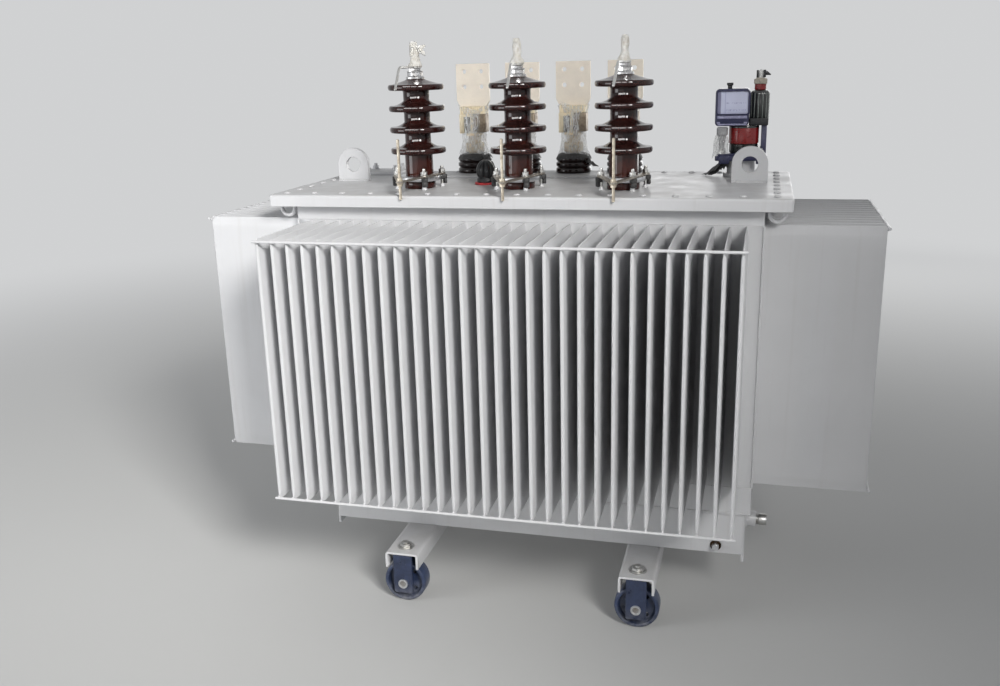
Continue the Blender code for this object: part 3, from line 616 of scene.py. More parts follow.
def enamel(name, tone, dust=0.35, gloss=0.34, peel=1.0):
    """Tone, slow variation, streaks, dust by the normal's height, scuffs, specks and orange peel."""
    made, shader, where = blank(name, Coat_Weight=0.12, Coat_Roughness=0.18)
    cloud = noise(where, 11.0, 5, 0.62)
    colour = tint(ramp(noise(where, 2.6, 4, 0.6), 0.3, 0.7), shade(tone, 0.955), shade(tone, 1.035))
    colour = tint(ramp(streaks(where, (46, 46, 1.6)), 0.56, 0.74, 0.0, 0.16), colour, DUST)
    lying = times(ramp(upward(where), 0.35, 0.95), ramp(cloud, 0.34, 0.66, 0.25, 1.0))
    colour = tint(times(lying, dust), colour, DUST)
    scratch = ramp(streaks(where, (34, 34, 150), 6, 0.7, 0.6), 0.66, 0.72)
    scuff = times(scratch, ramp(noise(where, 5.0, 2), 0.52, 0.64), True)
    colour = tint(times(scuff, 0.35), colour, shade(tone, 1.22, 0.9))
    speck = times(ramp(cells(where, 70.0), 0.055, 0.035), ramp(cloud, 0.5, 0.6), True)
    colour = tint(times(speck, 0.35), colour, shade(DUST, 0.45))
    rough = plus(ramp(cloud, 0.3, 0.7, gloss - 0.05, gloss + 0.09), times(lying, 0.22))
    wave = bump(noise(where, 26.0, 2, 0.5), 0.0011 * peel, 0.35)
    feed(shader, Base_Color=colour, Roughness=plus(rough, times(scuff, 0.18), True),
         Normal=bump(noise(where, 720.0, 2, 0.5), 0.00010 * peel, 0.30, Normal=wave))
    return made


paint = enamel("tank_enamel", LIGHT_GREY)
# A paler enamel with less dust: clean paint on lugs, bars and welds, and a painted highlight on the fin
# ridges.
paint_clean_and_highlight = enamel("clean_enamel_and_painted_highlight", shade(LIGHT_GREY, 1.02), 0.15, 0.32)
paint_weld = enamel("weld_enamel", shade(LIGHT_GREY, 0.97), 0.3, 0.36, 3.0)
print("paint on", paint.name)

# %% [markdown]
# ### Navy roller paint
# Rollers and forks are dipped in dark blue.  They get scratched by stones and pick up pale floor dust,
# most of it on the rim and low down, so wear here is a matter of height and of broken noise.

# %% Navy enamel
def navy_enamel(name, deep, worn, wear=0.5):
    """Dark blue with dust that thickens near the floor, rubbed patches and shallow dents."""
    made, shader, where = blank(name, Coat_Weight=0.25, Coat_Roughness=0.22)
    blot = noise(where, 42.0, 5, 0.65)
    colour = tint(ramp(blot, 0.3, 0.7), shade(deep, 0.7), shade(deep, 1.5))
    rub = ramp(noise(where, 160.0, 6, 0.72), 0.56, 0.66)
    rub = times(rub, ramp(noise(where, 30.0, 2), 0.42, 0.62), True)
    colour = tint(times(rub, wear), colour, worn)
    low = times(ramp(part_of(where, "Z"), 0.065, 0.0), ramp(blot, 0.35, 0.62), True)
    feed(shader, Base_Color=tint(times(low, 0.55), colour, (0.30, 0.29, 0.27)),
         Roughness=plus(ramp(blot, 0.3, 0.7, 0.26, 0.44), times(low, 0.35), True),
         Normal=bump(noise(where, 110.0, 4, 0.6), 0.0006, 0.5))
    return made


navy = navy_enamel("roller_navy", (0.024, 0.037, 0.082), (0.13, 0.16, 0.24))
navy_fork = navy_enamel("fork_navy", (0.019, 0.029, 0.066), (0.11, 0.13, 0.20), 0.35)

# %% [markdown]
# ### Brown glaze
# Bushings are porcelain under a thick dark brown glaze.  The glaze is thinner in places, where it turns
# redder.  A clear coat gives the sharp highlight, and a thin film of dust lies on the upper faces.

# %% Glazed porcelain
def glaze(name, deep, thin):
    """Colour by slow noise and by how far the surface faces up, under a clear coat."""
    made, shader, where = blank(name, Specular_IOR_Level=0.05, Coat_Weight=0.8, Coat_Roughness=0.05,
                                Coat_IOR=1.45)
    colour = tint(ramp(noise(where, 34.0, 4, 0.6), 0.32, 0.68), deep, thin)
    dusty = times(ramp(upward(where), 0.3, 0.95), ramp(noise(where, 90.0, 5, 0.65), 0.38, 0.68))
    feed(shader, Base_Color=tint(times(dusty, 0.05), colour, (0.32, 0.27, 0.24)),
         Roughness=ramp(dusty, 0.0, 1.0, 0.12, 0.30), Normal=bump(noise(where, 75.0, 2, 0.5), 0.0005, 0.25))
    return made


porcelain = glaze("brown_glaze", (0.015, 0.0036, 0.0034), (0.033, 0.0080, 0.0062))
porcelain_dark = glaze("low_bushing_glaze", (0.0070, 0.0028, 0.0028), (0.0170, 0.0055, 0.0048))
porcelain_body = glaze("red_brown_glaze", (0.028, 0.0062, 0.0045), (0.052, 0.0120, 0.0080))

# %% [markdown]
# ### Plated and bare metals
# All metals share one recipe: a metallic colour, fine lines or cast grain in the roughness, and a
# stain that darkens it in patches.  Tin on the palms is matt and creamy with brown flux near the neck;
# cast aluminium is bright; zinc on the spark rods is dull and slightly yellow.

# %% Metals
def metal(name, bright, stain, rough, stained, grain, stain_scale=24.0):
    """Bright colour and stain by noise, roughness by the same noise, relief from the grain."""
    made, shader, where = blank(name, Metallic=1.0)
    lines = streaks(where, grain)
    amount = times(ramp(noise(where, stain_scale, 6, 0.66), 0.44, 0.68), stained)
    colour = tint(amount, bright, stain)
    colour = tint(ramp(lines, 0.3, 0.7, 0.0, 0.22), colour, shade(bright, 0.6))
    feed(shader, Base_Color=colour, Normal=bump(lines, 0.0002, 0.6),
         Roughness=plus(ramp(lines, 0.3, 0.7, *rough), times(amount, 0.25), True))
    return made


def tinned(name, clean, brown, neck_low, neck_high):
    """Matt tin: cream with faint rolled lines, browned between two heights, with small dark spots."""
    made, shader, where = blank(name, Metallic=0.2)
    patch = noise(where, 30.0, 6, 0.68)
    amount = times(ramp(part_of(where, "Z"), neck_high, neck_low), ramp(patch, 0.38, 0.60), True)
    colour = tint(ramp(patch, 0.35, 0.65), shade(clean, 0.93), clean)
    colour = tint(times(amount, 0.75), colour, brown)
    spot = times(ramp(cells(where, 120.0), 0.10, 0.05), ramp(noise(where, 40.0, 2), 0.55, 0.62), True)
    rolled = streaks(where, (40, 300, 300))
    feed(shader, Base_Color=tint(times(spot, 0.6), colour, (0.16, 0.10, 0.06)),
         Roughness=ramp(patch, 0.3, 0.7, 0.34, 0.52), Normal=bump(rolled, 0.0002, 0.5))
    return made


cast_ring = metal("bright_cast_ring", (0.80, 0.81, 0.83), (0.42, 0.41, 0.40), (0.22, 0.38), 0.35,
                  (240, 240, 240))
zinc = metal("yellow_zinc", (0.62, 0.56, 0.46), (0.26, 0.21, 0.16), (0.30, 0.48), 0.75,
             (420, 420, 60), 60.0)
arm_steel = metal("arm_steel", (0.40, 0.37, 0.33), (0.17, 0.13, 0.10), (0.36, 0.52), 0.75,
                  (420, 60, 420), 60.0)
zinc_bright = metal("zinc_fasteners", (0.60, 0.60, 0.59), (0.36, 0.33, 0.28), (0.24, 0.42), 0.6,
                    (500, 500, 500), 90.0)
steel_dull = metal("dull_steel", (0.44, 0.43, 0.42), (0.16, 0.12, 0.09), (0.35, 0.55), 0.8,
                   (300, 300, 300), 70.0)
nickel = metal("nickel_cap", (0.60, 0.60, 0.61), (0.40, 0.36, 0.30), (0.14, 0.32), 0.45,
               (300, 300, 300), 60.0)
palm_tin = tinned("palm_tin", (0.88, 0.80, 0.69), (0.40, 0.27, 0.14), 1.340, 1.375)
clamp_tin = tinned("clamp_tin", (0.84, 0.74, 0.54), (0.34, 0.20, 0.09), 1.20, 1.36)
# A darker copy of the clamp metal: painted shade on the clamp's right block.
clamp_shaded_metal = metal("clamp_metal_painted_shade", (0.30, 0.25, 0.19), (0.09, 0.06, 0.04), (0.32, 0.5), 0.7,
                   (200, 200, 200), 50.0)
# Nearly black metal: painted shade at the back of the clamp's recess and a painted shadow round the earth
# bolt.
painted_shade_metal = metal("painted_shade_dark_metal", (0.060, 0.038, 0.022), (0.020, 0.012, 0.008), (0.5, 0.7), 0.7,
                   (200, 200, 200), 50.0)
print("metals ready")

# %% [markdown]
# ### Plastics, tape and film
# The tap-changer cap is ribbed black plastic on a red rubber ring.  The stud ends are wound with
# off-white crepe tape, and clear stretch film is bunched round the stems.  Film is a thin clear sheet,
# so it is drawn as one and made of a little gloss over a lot of transparency.

# %% Plastics and wraps
def plastic(name, tone, rough=0.38, fleck=0.4, depth=0.0002, coat=0.0):
    """Moulded plastic: close tone changes, dust in the flecks, fine pebble relief."""
    made, shader, where = blank(name, Coat_Weight=coat, Coat_Roughness=0.08)
    cloud = noise(where, 70.0, 5, 0.65)
    colour = tint(ramp(cloud, 0.3, 0.7), shade(tone, 0.8), shade(tone, 1.2))
    dusty = ramp(noise(where, 260.0, 5, 0.7), 0.54, 0.72)
    feed(shader, Base_Color=tint(times(dusty, fleck * 0.4), colour, (0.34, 0.32, 0.30)),
         Roughness=ramp(cloud, 0.3, 0.7, rough - 0.08, rough + 0.10),
         Normal=bump(noise(where, 900.0, 2, 0.5), depth, 0.4))
    return made


def tape(name, tone, dirt):
    """Crepe tape: close ribs across the winding from a wave, soft dirt, matt."""
    made, shader, where = blank(name, Roughness=0.72, Sheen_Weight=0.25)
    rib = add_node(where.id_data, "TexWave", Vector=where, Scale=210.0, Distortion=3.0,
                   bands_direction="Z").outputs["Fac"]
    feed(shader, Base_Color=tint(ramp(noise(where, 90.0, 5, 0.65), 0.36, 0.7), tone, dirt),
         Normal=bump(plus(rib, noise(where, 300.0, 3)), 0.0005, 0.7))
    return made


def film(name, clear, cover):
    """Clear film: transparent where it lies flat, whiter in its creases, with a sharp gloss."""
    made, shader, where = blank(name, Roughness=0.10, IOR=1.45, Coat_Weight=0.6, Coat_Roughness=0.06)
    crease = streaks(where, (95, 95, 16), 5, 0.66, 1.6)
    line = ramp(distance(crease, 0.5), 0.052, 0.0)
    patch = ramp(noise(where, 38.0, 4, 0.6), 0.48, 0.66)
    amount = calc("MAXIMUM", line, times(patch, 0.45))
    feed(shader, Base_Color=tint(line, shade(clear, 0.8), clear), Alpha=ramp(amount, 0.0, 1.0, *cover),
         Normal=bump(crease, 0.004, 0.8))
    return made


def gauge_card(name, card, print_tone, left_edge, rows, right_edge):
    """The printed card behind the pane: pale card, a grey strip on the left, and faint rows of ticks.

    A row is a narrow band of height; inside it a stretched noise breaks the print into short ticks.
    """
    made, shader, where = blank(name, Roughness=0.35, Coat_Weight=0.25, Coat_Roughness=0.08)
    x, z = part_of(where, "X"), part_of(where, "Z")
    colour = tint(ramp(noise(where, 24.0, 3), 0.3, 0.7), shade(card, 0.94), card)
    ticks = ramp(streaks(where, (420, 1, 90), 2, 0.5), 0.50, 0.56)
    printed = 0.0
    for height, half in rows:
        printed = calc("MAXIMUM", ramp(distance(z, height), half, half * 0.6), printed)
    inside = times(ramp(x, left_edge + 0.014, left_edge + 0.016), ramp(x, right_edge, right_edge - 0.002))
    colour = tint(times(times(times(printed, ticks), inside), 0.5), colour, print_tone)
    line = ramp(distance(x, left_edge + 0.0125), 0.0011, 0.0005)
    colour = tint(times(line, 0.45), colour, print_tone)
    strip = ramp(x, left_edge + 0.0005, left_edge - 0.0005)
    feed(shader, Base_Color=tint(strip, colour, (0.27, 0.27, 0.42)),
         Normal=bump(noise(where, 60.0, 2), 0.0002, 0.2))
    return made


black_plastic = plastic("black_moulding", (0.018, 0.019, 0.021), 0.36)
black_rubber = plastic("black_clamp_finger", (0.028, 0.027, 0.028), 0.55, 0.8)
red_rubber = plastic("red_gasket", (0.50, 0.035, 0.040), 0.42, 0.3)
relay_navy = plastic("relay_blue", (0.026, 0.028, 0.080), 0.34, 0.25, 0.0001, 0.1)
relay_red = plastic("relay_float_red", (0.24, 0.005, 0.005), 0.30, 0.03, 0.0001, 0.25)
relay_smoke = plastic("relay_smoke_dome", (0.010, 0.013, 0.012), 0.14, 0.1, 0.00005, 0.6)
relay_lilac = plastic("relay_lilac", (0.085, 0.085, 0.155), 0.34, 0.3, 0.0001, 0.2)
# Pale lilac for the display's strips, and for two small tabs that are painted glints.
relay_strip_and_glint = plastic("relay_pale_strip_and_painted_glint", (0.33, 0.33, 0.50), 0.25, 0.2, 0.0001, 0.4)
valve_grey = plastic("valve_grey", (0.36, 0.36, 0.37), 0.42, 0.5)
rib_grey = plastic("relay_clear_rib", (0.24, 0.27, 0.25), 0.18, 0.2, 0.00005, 0.6)
beige = plastic("union_beige", (0.46, 0.42, 0.35), 0.40, 0.4)
plug_white = plastic("plug_white", (0.80, 0.80, 0.78), 0.35, 0.3)
crepe = tape("crepe_tape", (0.86, 0.85, 0.82), (0.62, 0.58, 0.50))
clear_film = film("stretch_film", (0.90, 0.91, 0.91), (0.12, 0.88))

# %% [markdown]
# ## Cover
# The cover is a steel plate whose four sides are bent down into a rim.  It could be a cube with a bevel,
# but a bent sheet has a round outer bend, a thin lower lip and a hollow underside.  So one rounded
# rectangle is repeated at rising insets: out over the bend, down the rim, round its lip and back inside.

# %% Measures of the solids
def measure(name):
    """Lowest and highest corner of a CAD node, as numpy points."""
    low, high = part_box(name)
    return np.array(low), np.array(high)


SEAT = 0.0003
BOLT_INSET = 0.040
cover_low, cover_high = measure("cover")
DECK = cover_high[2]
cover_half = (cover_high - cover_low)[:2] / 2
print("cover half sizes", cover_half, "top at", round(DECK, 4))


# %% Cover tray
def tray(centre, half, radius, top, low, thick, bend):
    """Rows (inset, height): flat top, a quarter bend, the rim, its lip, and the hollow side."""
    a = np.linspace(0, math.pi / 2, 6)
    outer = np.stack([bend * (1 - np.sin(a)), top - bend * (1 - np.cos(a))], axis=-1)
    lip = 0.0012
    rows = [(bend + 0.010, top), *outer, (0, top - bend - 0.003), (0, low + 0.004), (0, low + lip),
            (lip, low), (thick - lip, low), (thick, low + lip), (thick, top - thick - 0.002),
            (thick + 0.004, top - thick)]
    return boxed(centre, half[0], half[1], radius, rows)


put("cover_tray", tray((0, 0, 0), cover_half, 0.009, DECK, cover_low[2], 0.006, 0.006), paint,
    stands_for="cover")

# %% [markdown]
# Round-headed bolts clamp the cover all round.  They are painted over, so only low domes show, with
# their nuts under the tank's flange.  One dome is turned and then copied to every place at once.

# %% Cover bolts
def around(half_x, half_y, count_x, count_y):
    """Places on a rectangle: two long rows, and two short rows without their corners."""
    x = np.linspace(-half_x, half_x, count_x)
    y = np.linspace(-half_y, half_y, count_y)[1:-1]
    long_rows = [np.stack([x, np.full_like(x, s * half_y)], axis=-1) for s in (-1, 1)]
    short_rows = [np.stack([np.full_like(y, s * half_x), y], axis=-1) for s in (-1, 1)]
    return np.concatenate(long_rows + short_rows)


dome = lathe(mm((0, 0), (9.2, 0), (9.4, 0.8), (8, 2.4), (5.6, 3.6), (2.6, 4.2), (0, 4.3)), 16)
bolt_xy = around(*(cover_half - BOLT_INSET), 17, 8)
bolt_places = np.column_stack([bolt_xy, np.full(len(bolt_xy), DECK + SEAT)])
put("cover_bolts", copies(dome, bolt_places), paint, smooth=60)
under_nut = plate(hexagon(0.0165), -0.009, 0, "Z", 0.0008)
nut_level = measure("tank_flange")[0][2] - SEAT
put("cover_bolt_nuts", copies(under_nut, bolt_places * [1, 1, 0] + [0, 0, nut_level]), paint)

# %% [markdown]
# ## Terminal plate and blank flange
# Low-voltage bushings stand on a thin plate welded to the cover.  Beside them a short blank flange
# closes a spare hole, held by four studs.  Both are bricks with soft edges.

# %% Raised plate and blank flange
FLANGE_SHIFT = STUD_IN = 0.020
plate_low, plate_high = measure("terminal_plate")
put("terminal_pad", brick(plate_low, plate_high, 0.012, 0.0010), paint, stands_for="terminal_plate")


def bead(path, side, radius=0.0028, pitch=0.006, seed=1):
    """A weld bead: a small circle carried along a path, its size rippled by a wave and by noise."""
    path = np.asarray(path, float)
    step = np.linalg.norm(np.diff(path, axis=0), axis=1)
    length = np.concatenate([[0], np.cumsum(step)])
    count = max(int(length[-1] / pitch * 4), 8)
    s = np.linspace(0, length[-1], count)
    fine = np.stack([np.interp(s, length, path[:, k]) for k in range(3)], axis=-1)
    loose = np.random.default_rng(seed).normal(0, 0.06, count)
    scale = 1 + 0.13 * np.sin(2 * math.pi * s / pitch) + loose
    scale[[0, -1]] = 0.5
    return carried(circle(radius, 7), fine, side, scale)


flange_low, flange_high = measure("blank_flange")
flange_high[2] = flange_low[2] + 0.010
flange_low[0] -= FLANGE_SHIFT
flange_high[0] -= FLANGE_SHIFT
studs = together(*[bolt((x, y, flange_high[2]), 0.019, 0.009, 0.008, washer=0.024)
                   for x in (flange_low[0] + STUD_IN, flange_high[0] - STUD_IN)
                   for y in (flange_low[1] + STUD_IN, flange_high[1] - STUD_IN)])
put("spare_flange", brick(flange_low, flange_high, 0.010, 0.0015), paint, stands_for="blank_flange")
put("spare_flange_studs", studs, paint_clean_and_highlight, smooth=35)

# %% [markdown]
# ## Folded fins
# A corrugated wall is one long sheet folded into deep narrow pockets, pressed flat and welded at both
# ends.  Thirty separate boxes would miss the round folds and the taper where a pocket is pressed shut.
# Here the sheet is a single surface S(s, z): s follows the fold along the wall, out along one side of a
# fin, round its tip and back; z runs up, and the pocket's thickness t is a function of z alone.  A
# Solidify modifier then gives the sheet its real gauge.

# %% The fold as a function
PLATE_T, PRESSED_T, TAPER, FILLET = 0.0095, 0.0032, 0.024, 0.003


def folded_wall(count, half, reach, fin_low, fin_top, wall_low, wall_top, frame_of):
    """The folded sheet in wall coordinates (u along, v out, z up), then laid into the world.

    Fold path of one fin, for thickness t: root fillet, side, half circle of radius t/2 round the tip,
    side, root fillet.  t(z) falls from 9.5 to 3.2 mm over the last 24 mm at both ends.
    """
    rise = np.array([0, 0.003, TAPER - 0.004, TAPER, TAPER + 0.008])
    z = np.concatenate([fin_low + rise, [(fin_low + fin_top) / 2], fin_top - rise[::-1]])
    t = np.interp(z, [fin_low + 0.002, fin_low + TAPER, fin_top - TAPER, fin_top - 0.002],
                  [PRESSED_T, PLATE_T, PLATE_T, PRESSED_T])[:, None]
    a = np.linspace(0, math.pi, 7)[None]
    tip_u, tip_v = -t / 2 * np.cos(a), reach - t / 2 + t / 2 * np.sin(a)
    left_u = np.concatenate([-t / 2 - FILLET, -t / 2 - FILLET * 0.25, -t / 2, -t / 2], axis=1)
    left_v = t * 0 + [0, FILLET * 0.25, FILLET, reach * 0.5]
    u = np.concatenate([left_u, tip_u, -left_u[:, ::-1]], axis=1)
    v = np.concatenate([left_v, tip_v, left_v[:, ::-1]], axis=1)
    samples = u.shape[1]
    u = (u[:, None, :] + fin_centres(count)[None, :, None]).reshape(len(z), -1)
    v = np.broadcast_to(v[:, None, :], (len(z), count, samples)).reshape(len(z), -1)
    end = np.full((len(z), 1), half)
    x, y = frame_of(np.concatenate([-end, u, end], axis=1), np.concatenate([end * 0, v, end * 0], axis=1))
    points, quads = surface(grid(x, y, z[:, None]), columns_closed=False)

    columns = x.shape[1]
    k = np.arange(samples // 2)
    first = 1 + np.arange(count)[:, None] * samples
    lids = []
    for row in (0, len(z) - 1):
        base = row * columns + first
        lid = np.stack([base + k, base + k + 1, base + samples - 2 - k, base + samples - 1 - k], axis=-1)
        lids.append(lid.reshape(-1, 4) if row else lid.reshape(-1, 4)[:, ::-1])
    roots = np.concatenate([[0], (first + [[0, samples - 1]]).reshape(-1), [columns - 1]]).astype(int)
    strips = [surface(grid(x[row, roots], y[row, roots], np.array(sorted([z[row], edge]))[:, None]),
                      columns_closed=False) for row, edge in ((0, wall_low), (len(z) - 1, wall_top))]
    return together((points, np.concatenate([quads] + lids)), *strips)


def fin_centres(count):
    """Places of the fins along their wall."""
    return (np.arange(count) - (count - 1) / 2) * FIN_PITCH


def facing(patch, away):
    """Turn an open sheet over if it looks against a direction, which may differ from face to face."""
    points, quads = patch
    a, b, d = (points[quads[:, k]] for k in (0, 1, 3))
    return (points, quads[:, ::-1]) if (np.cross(b - a, d - a) * away).sum() < 0 else patch


# %% Four walls
SHEET = ("SOLIDIFY", {"thickness": 0.0014, "offset": -1.0, "use_even_offset": False})
FIN_PITCH = 0.0415
fin_low, fin_top = measure("rod_front_low")[0][2], measure("rod_front_high")[1][2]
walls = {"front": (30, 1, -1), "rear": (30, 1, 1), "right": (13, 0, 1), "left": (13, 0, -1)}
for side, (count, across, sign) in walls.items():
    low, high = measure(f"fin_wall_{side}")
    half, deep = (high - low)[1 - across] / 2, (high - low)[across]
    face = (low, high)[sign > 0][across] - sign * (deep - 0.004)
    if across:
        frame_of = lambda u, v, s=sign, f=face: (u, f + s * v)
    else:
        frame_of = lambda u, v, s=sign, f=face: (f + s * v, u)
    wall = folded_wall(count, half, deep - 0.0042, fin_low, fin_top, low[2], high[2], frame_of)
    away = np.zeros(3)
    away[across] = sign
    put(f"folded_{side}", facing(wall, away), paint, stands_for=f"fin_wall_{side}", smooth=50,
        modifiers=[SHEET])

# %% [markdown]
# Where a pocket is pressed shut, its two skins are welded edge to edge.  The weld is ground to a narrow
# ridge along the top and the bottom of every fin: one soft-edged strip, copied once per fin and level.
# The ridges take the paler, less dusty enamel as a painted highlight along each fin's end.
#
# Round bars run across the fin tips, top and bottom, and keep the fins from swinging.  They are tacked
# to every tip, so each joint gets a small lump of weld on the bar.

# %% Ridges along the fin ends, tip bars and tacks
for side, (count, across, sign) in walls.items():
    low, high = measure(f"fin_wall_{side}")
    reach = (high - low)[across] - 0.008
    root = (low, high)[sign > 0][across] - sign * reach
    a, b = [-0.0015, -0.0015, -0.0022], [0.0015, 0.0015, 0.0022]
    a[across], b[across] = sorted([root, root + sign * (reach - 0.003)])
    spots = np.zeros((2 * count, 3))
    spots[:, 1 - across] = np.tile(fin_centres(count), 2)
    spots[:, 2] = np.repeat([fin_low, fin_top], count)
    # The paler enamel paints a highlight along each ridge.
    put(f"fin_ridges_painted_highlight_{side}", copies(brick(a, b, 0.0012, 0.0008), spots), paint_clean_and_highlight, smooth=50)

lump = lathe(mm((0, -4.6), (2.6, -3.6), (4, 0), (2.8, 3.4), (0, 4.4)), 7)
along_bar = np.concatenate([[0, 0.0008], np.linspace(0.01, 0.99, 6), [0.9992, 1]])[:, None]
blunt = np.array([0.8] + [1.0] * 8 + [0.8])
for side, (count, across, sign) in walls.items():
    for level in ("low", "high"):
        low, high = measure(f"rod_{side}_{level}")
        middle, radius = (low + high) / 2, (high[2] - low[2]) / 2
        ends = np.array([middle, middle])
        ends[:, 1 - across] = low[1 - across], high[1 - across]
        bar = carried(circle(radius, 14), ends[0] * (1 - along_bar) + ends[1] * along_bar, (0, 0, 1), blunt)
        spots = np.repeat(middle[None], count, axis=0)
        spots[:, 1 - across] = fin_centres(count)
        spots[:, across] -= sign * (radius * 0.80)
        spots[:, 2] += radius * (0.55 if level == "low" else -0.55)
        put(f"bar_{side}_{level}", together(bar, copies(lump, spots)), paint_clean_and_highlight,
            stands_for=f"rod_{side}_{level}", smooth=55)

# %% [markdown]
# ## Lugs and lashing eyes
# Both are flame-cut plates with a round hole.  The plate's outline is sampled by direction from the
# hole's centre, so inner and outer edge pair up and one closed ring of faces makes the whole plate,
# with its edges slightly rounded by the thick paint.

# %% Lifting lugs and lashing eyes
a = directions(64)
TINY = 1e-6
beside, above = np.maximum(np.abs(np.cos(a)), TINY), np.maximum(np.sin(a), TINY)
below = np.maximum(np.abs(np.sin(a)), TINY)
LUG_R, EYE_R, EYE_TAB = 0.050, 0.0245, 0.015
lug_reach = np.where(np.sin(a) >= -1e-9, LUG_R, np.minimum(LUG_R / beside, LUG_R / below))
eye_reach = np.where(np.sin(a) > 0, np.maximum(EYE_R, np.minimum(EYE_TAB / beside, EYE_R / above)), EYE_R)
for label in ("left", "right"):
    low, high = measure(f"lifting_lug_{label}")
    centre = np.array([(low[0] + high[0]) / 2, low[2] + LUG_R])
    lug = holed(spun(lug_reach, a) + centre, centre, 0.0225, low[1], high[1], "Y", 0.0012)
    put(f"lug_{label}", lug, paint_clean_and_highlight, stands_for=f"lifting_lug_{label}")
    welds = [bead([(low[0], y, low[2] + 0.001), (high[0], y, low[2] + 0.001)], (0, 0, 1), radius=0.0045,
                  seed=k + 3) for k, y in enumerate((low[1] - 0.001, high[1] + 0.001))]
    put(f"lug_weld_{label}", together(*welds), paint_weld, smooth=60)
for corner in ("front_left", "front_right", "rear_left", "rear_right"):
    low, high = measure(f"lashing_eye_{corner}")
    centre = np.array([(low[0] + high[0]) / 2, high[2] - EYE_R])
    eye = holed(spun(eye_reach, a) + centre, centre, 0.0145, low[1], high[1], "Y", 0.0022)
    put(f"eye_{corner}", eye, paint_clean_and_highlight, stands_for=f"lashing_eye_{corner}", smooth=60)
print("lugs and eyes done")

# %% [markdown]
# ## High-voltage bushings
# A bushing is thrown as wet clay on a wheel and then glazed, so a lathe is the honest way to draw it.
# Each shed has a flat underside that keeps a dry ring in the rain, a round lip, and a hollow slope that
# runs back into the core.  The foot is left out of the shed profile and gets its own redder glaze.

# %% Sheds and foot
SHED_LEVELS = (0.108, 0.1665, 0.225, 0.283)
CORE, LIP = 0.037, 0.0745


def shed(level, under, core=CORE, rise=0.0130, hollow=2.2):
    """Rows (radius, height) of one shed: neck, underside, lip drawn as a half circle, hollow slope.

    The slope is r = lip - (lip - core) s, z = z0 + rise s^hollow.
    """
    a = np.linspace(-math.pi / 2, math.pi / 2, 13)
    lip = np.stack([LIP + 0.0045 * np.cos(a), level - 0.0015 + 0.0080 * np.sin(a)], axis=-1)
    s = np.linspace(0.06, 1, 12)
    slope = np.stack([LIP - (LIP - core) * s, level + 0.0065 + rise * s ** hollow], axis=-1)
    neck = [under, level] + mm((0, -15), (1.2, -11.5), (5, -9.6))
    return np.concatenate([neck, lip, slope])


sheds_profile = np.concatenate(
    [mm((0, 98.5)), *[shed(level, 0.040 if k == 0 else CORE) for k, level in enumerate(SHED_LEVELS[:-1])],
     shed(SHED_LEVELS[-1], CORE, 0.0285, 0.0120, 1.3), mm((27.5, 303), (0, 303))])
foot_profile = mm((0, 0), (44, 0), (45, 1), (45, 19.6), (43.8, 20.8), (41.2, 21.2), (40.2, 22.2), (40, 26),
                  (40, 98.5), (0, 98.5))


def standing(name):
    """Where a turned node stands: the middle of its foot."""
    low, high = measure(name)
    return np.array([(low[0] + high[0]) / 2, (low[1] + high[1]) / 2, low[2]])


HV = {n: standing(f"hv_insulator_{n}") for n in (1, 2, 3)}
for n, base in HV.items():
    sheds = put(f"hv_sheds_{n}", lathe(sheds_profile, 96, base), porcelain, stands_for=f"hv_insulator_{n}",
                smooth=60)
    glazed.objects.link(sheds)
    without_rim.objects.link(sheds)
    without_rim.collection_objects[-1].light_linking.link_state = "EXCLUDE"
    put(f"hv_foot_{n}", lathe(foot_profile, 96, base), porcelain_body, smooth=50)

# %% [markdown]
# A cast ring presses the bushing's foot down.  Four studs welded to the cover pull it by black claws,
# and every stud stands in a little cone of paint-covered weld.

# %% Clamp ring, claws and studs
CLAW_ANGLES = np.array([-60.0, 30.0, 120.0, 210.0])
FREE_CLAW = 120.0
a = directions(96)
apart = np.abs((np.degrees(a)[:, None] - CLAW_ANGLES[None] + 180) % 360 - 180)
ring_outline = spun(0.0595 + 0.0063 * np.exp(-(apart / 13.0) ** 2).sum(axis=1), a)
claw = together(brick((0.0515, -0.0085, 0.0215), (0.0795, 0.0085, 0.035), 0.004, 0.0022),
                brick((0.07, -0.008, 0.0085), (0.079, 0.008, 0.0225), 0.003, 0.0018))
cone_rows = mm((0, 0), (8, 0), (7.8, 1.2), (6.6, 4.8), (6, 8.5), (0, 8.8))
stud_rows = [(0, 0.0085), *threads(0.005, 0.0003, 0.0085, 0.0016, 31), (0.004, 0.0592), (0, 0.0594)]
for n, base in HV.items():
    ring = holed(ring_outline + base[:2], base[:2], 0.0404, base[2] + 0.0213, base[2] + 0.0353, "Z", 0.0022)
    put(f"clamp_ring_{n}", ring, cast_ring, stands_for=f"hv_clamp_ring_{n}", smooth=50)
    cones, studs = [], []
    for degrees in CLAW_ANGLES:
        spot = base + [*spun(0.0655, math.radians(degrees)), 0]
        cones.append(lathe(cone_rows, 16, spot))
        nut_at = 0.0354 if degrees == FREE_CLAW else 0.0398
        studs += [lathe(stud_rows, 14, spot), bolt(spot + [0, 0, nut_at], 0.0165, 0.0085, washer=0.0215)]
    claws = together(*[turned(claw, degrees) for degrees in CLAW_ANGLES])
    put(f"clamp_claws_{n}", claws, black_rubber, at=base + [0, 0, 0.0001])
    put(f"stud_welds_{n}", together(*cones), paint_clean_and_highlight, smooth=60)
    put(f"clamp_studs_{n}", together(*studs), zinc_bright, smooth=35)

# %% [markdown]
# ## Spark gaps
# In front of each bushing a rod points up from a V of two flat bars, and a hooked rod points down from
# the cap.  Lightning jumps that gap, not the glaze.  A flat bar is an outline made thick; a rod is a
# circle carried along a bent line.

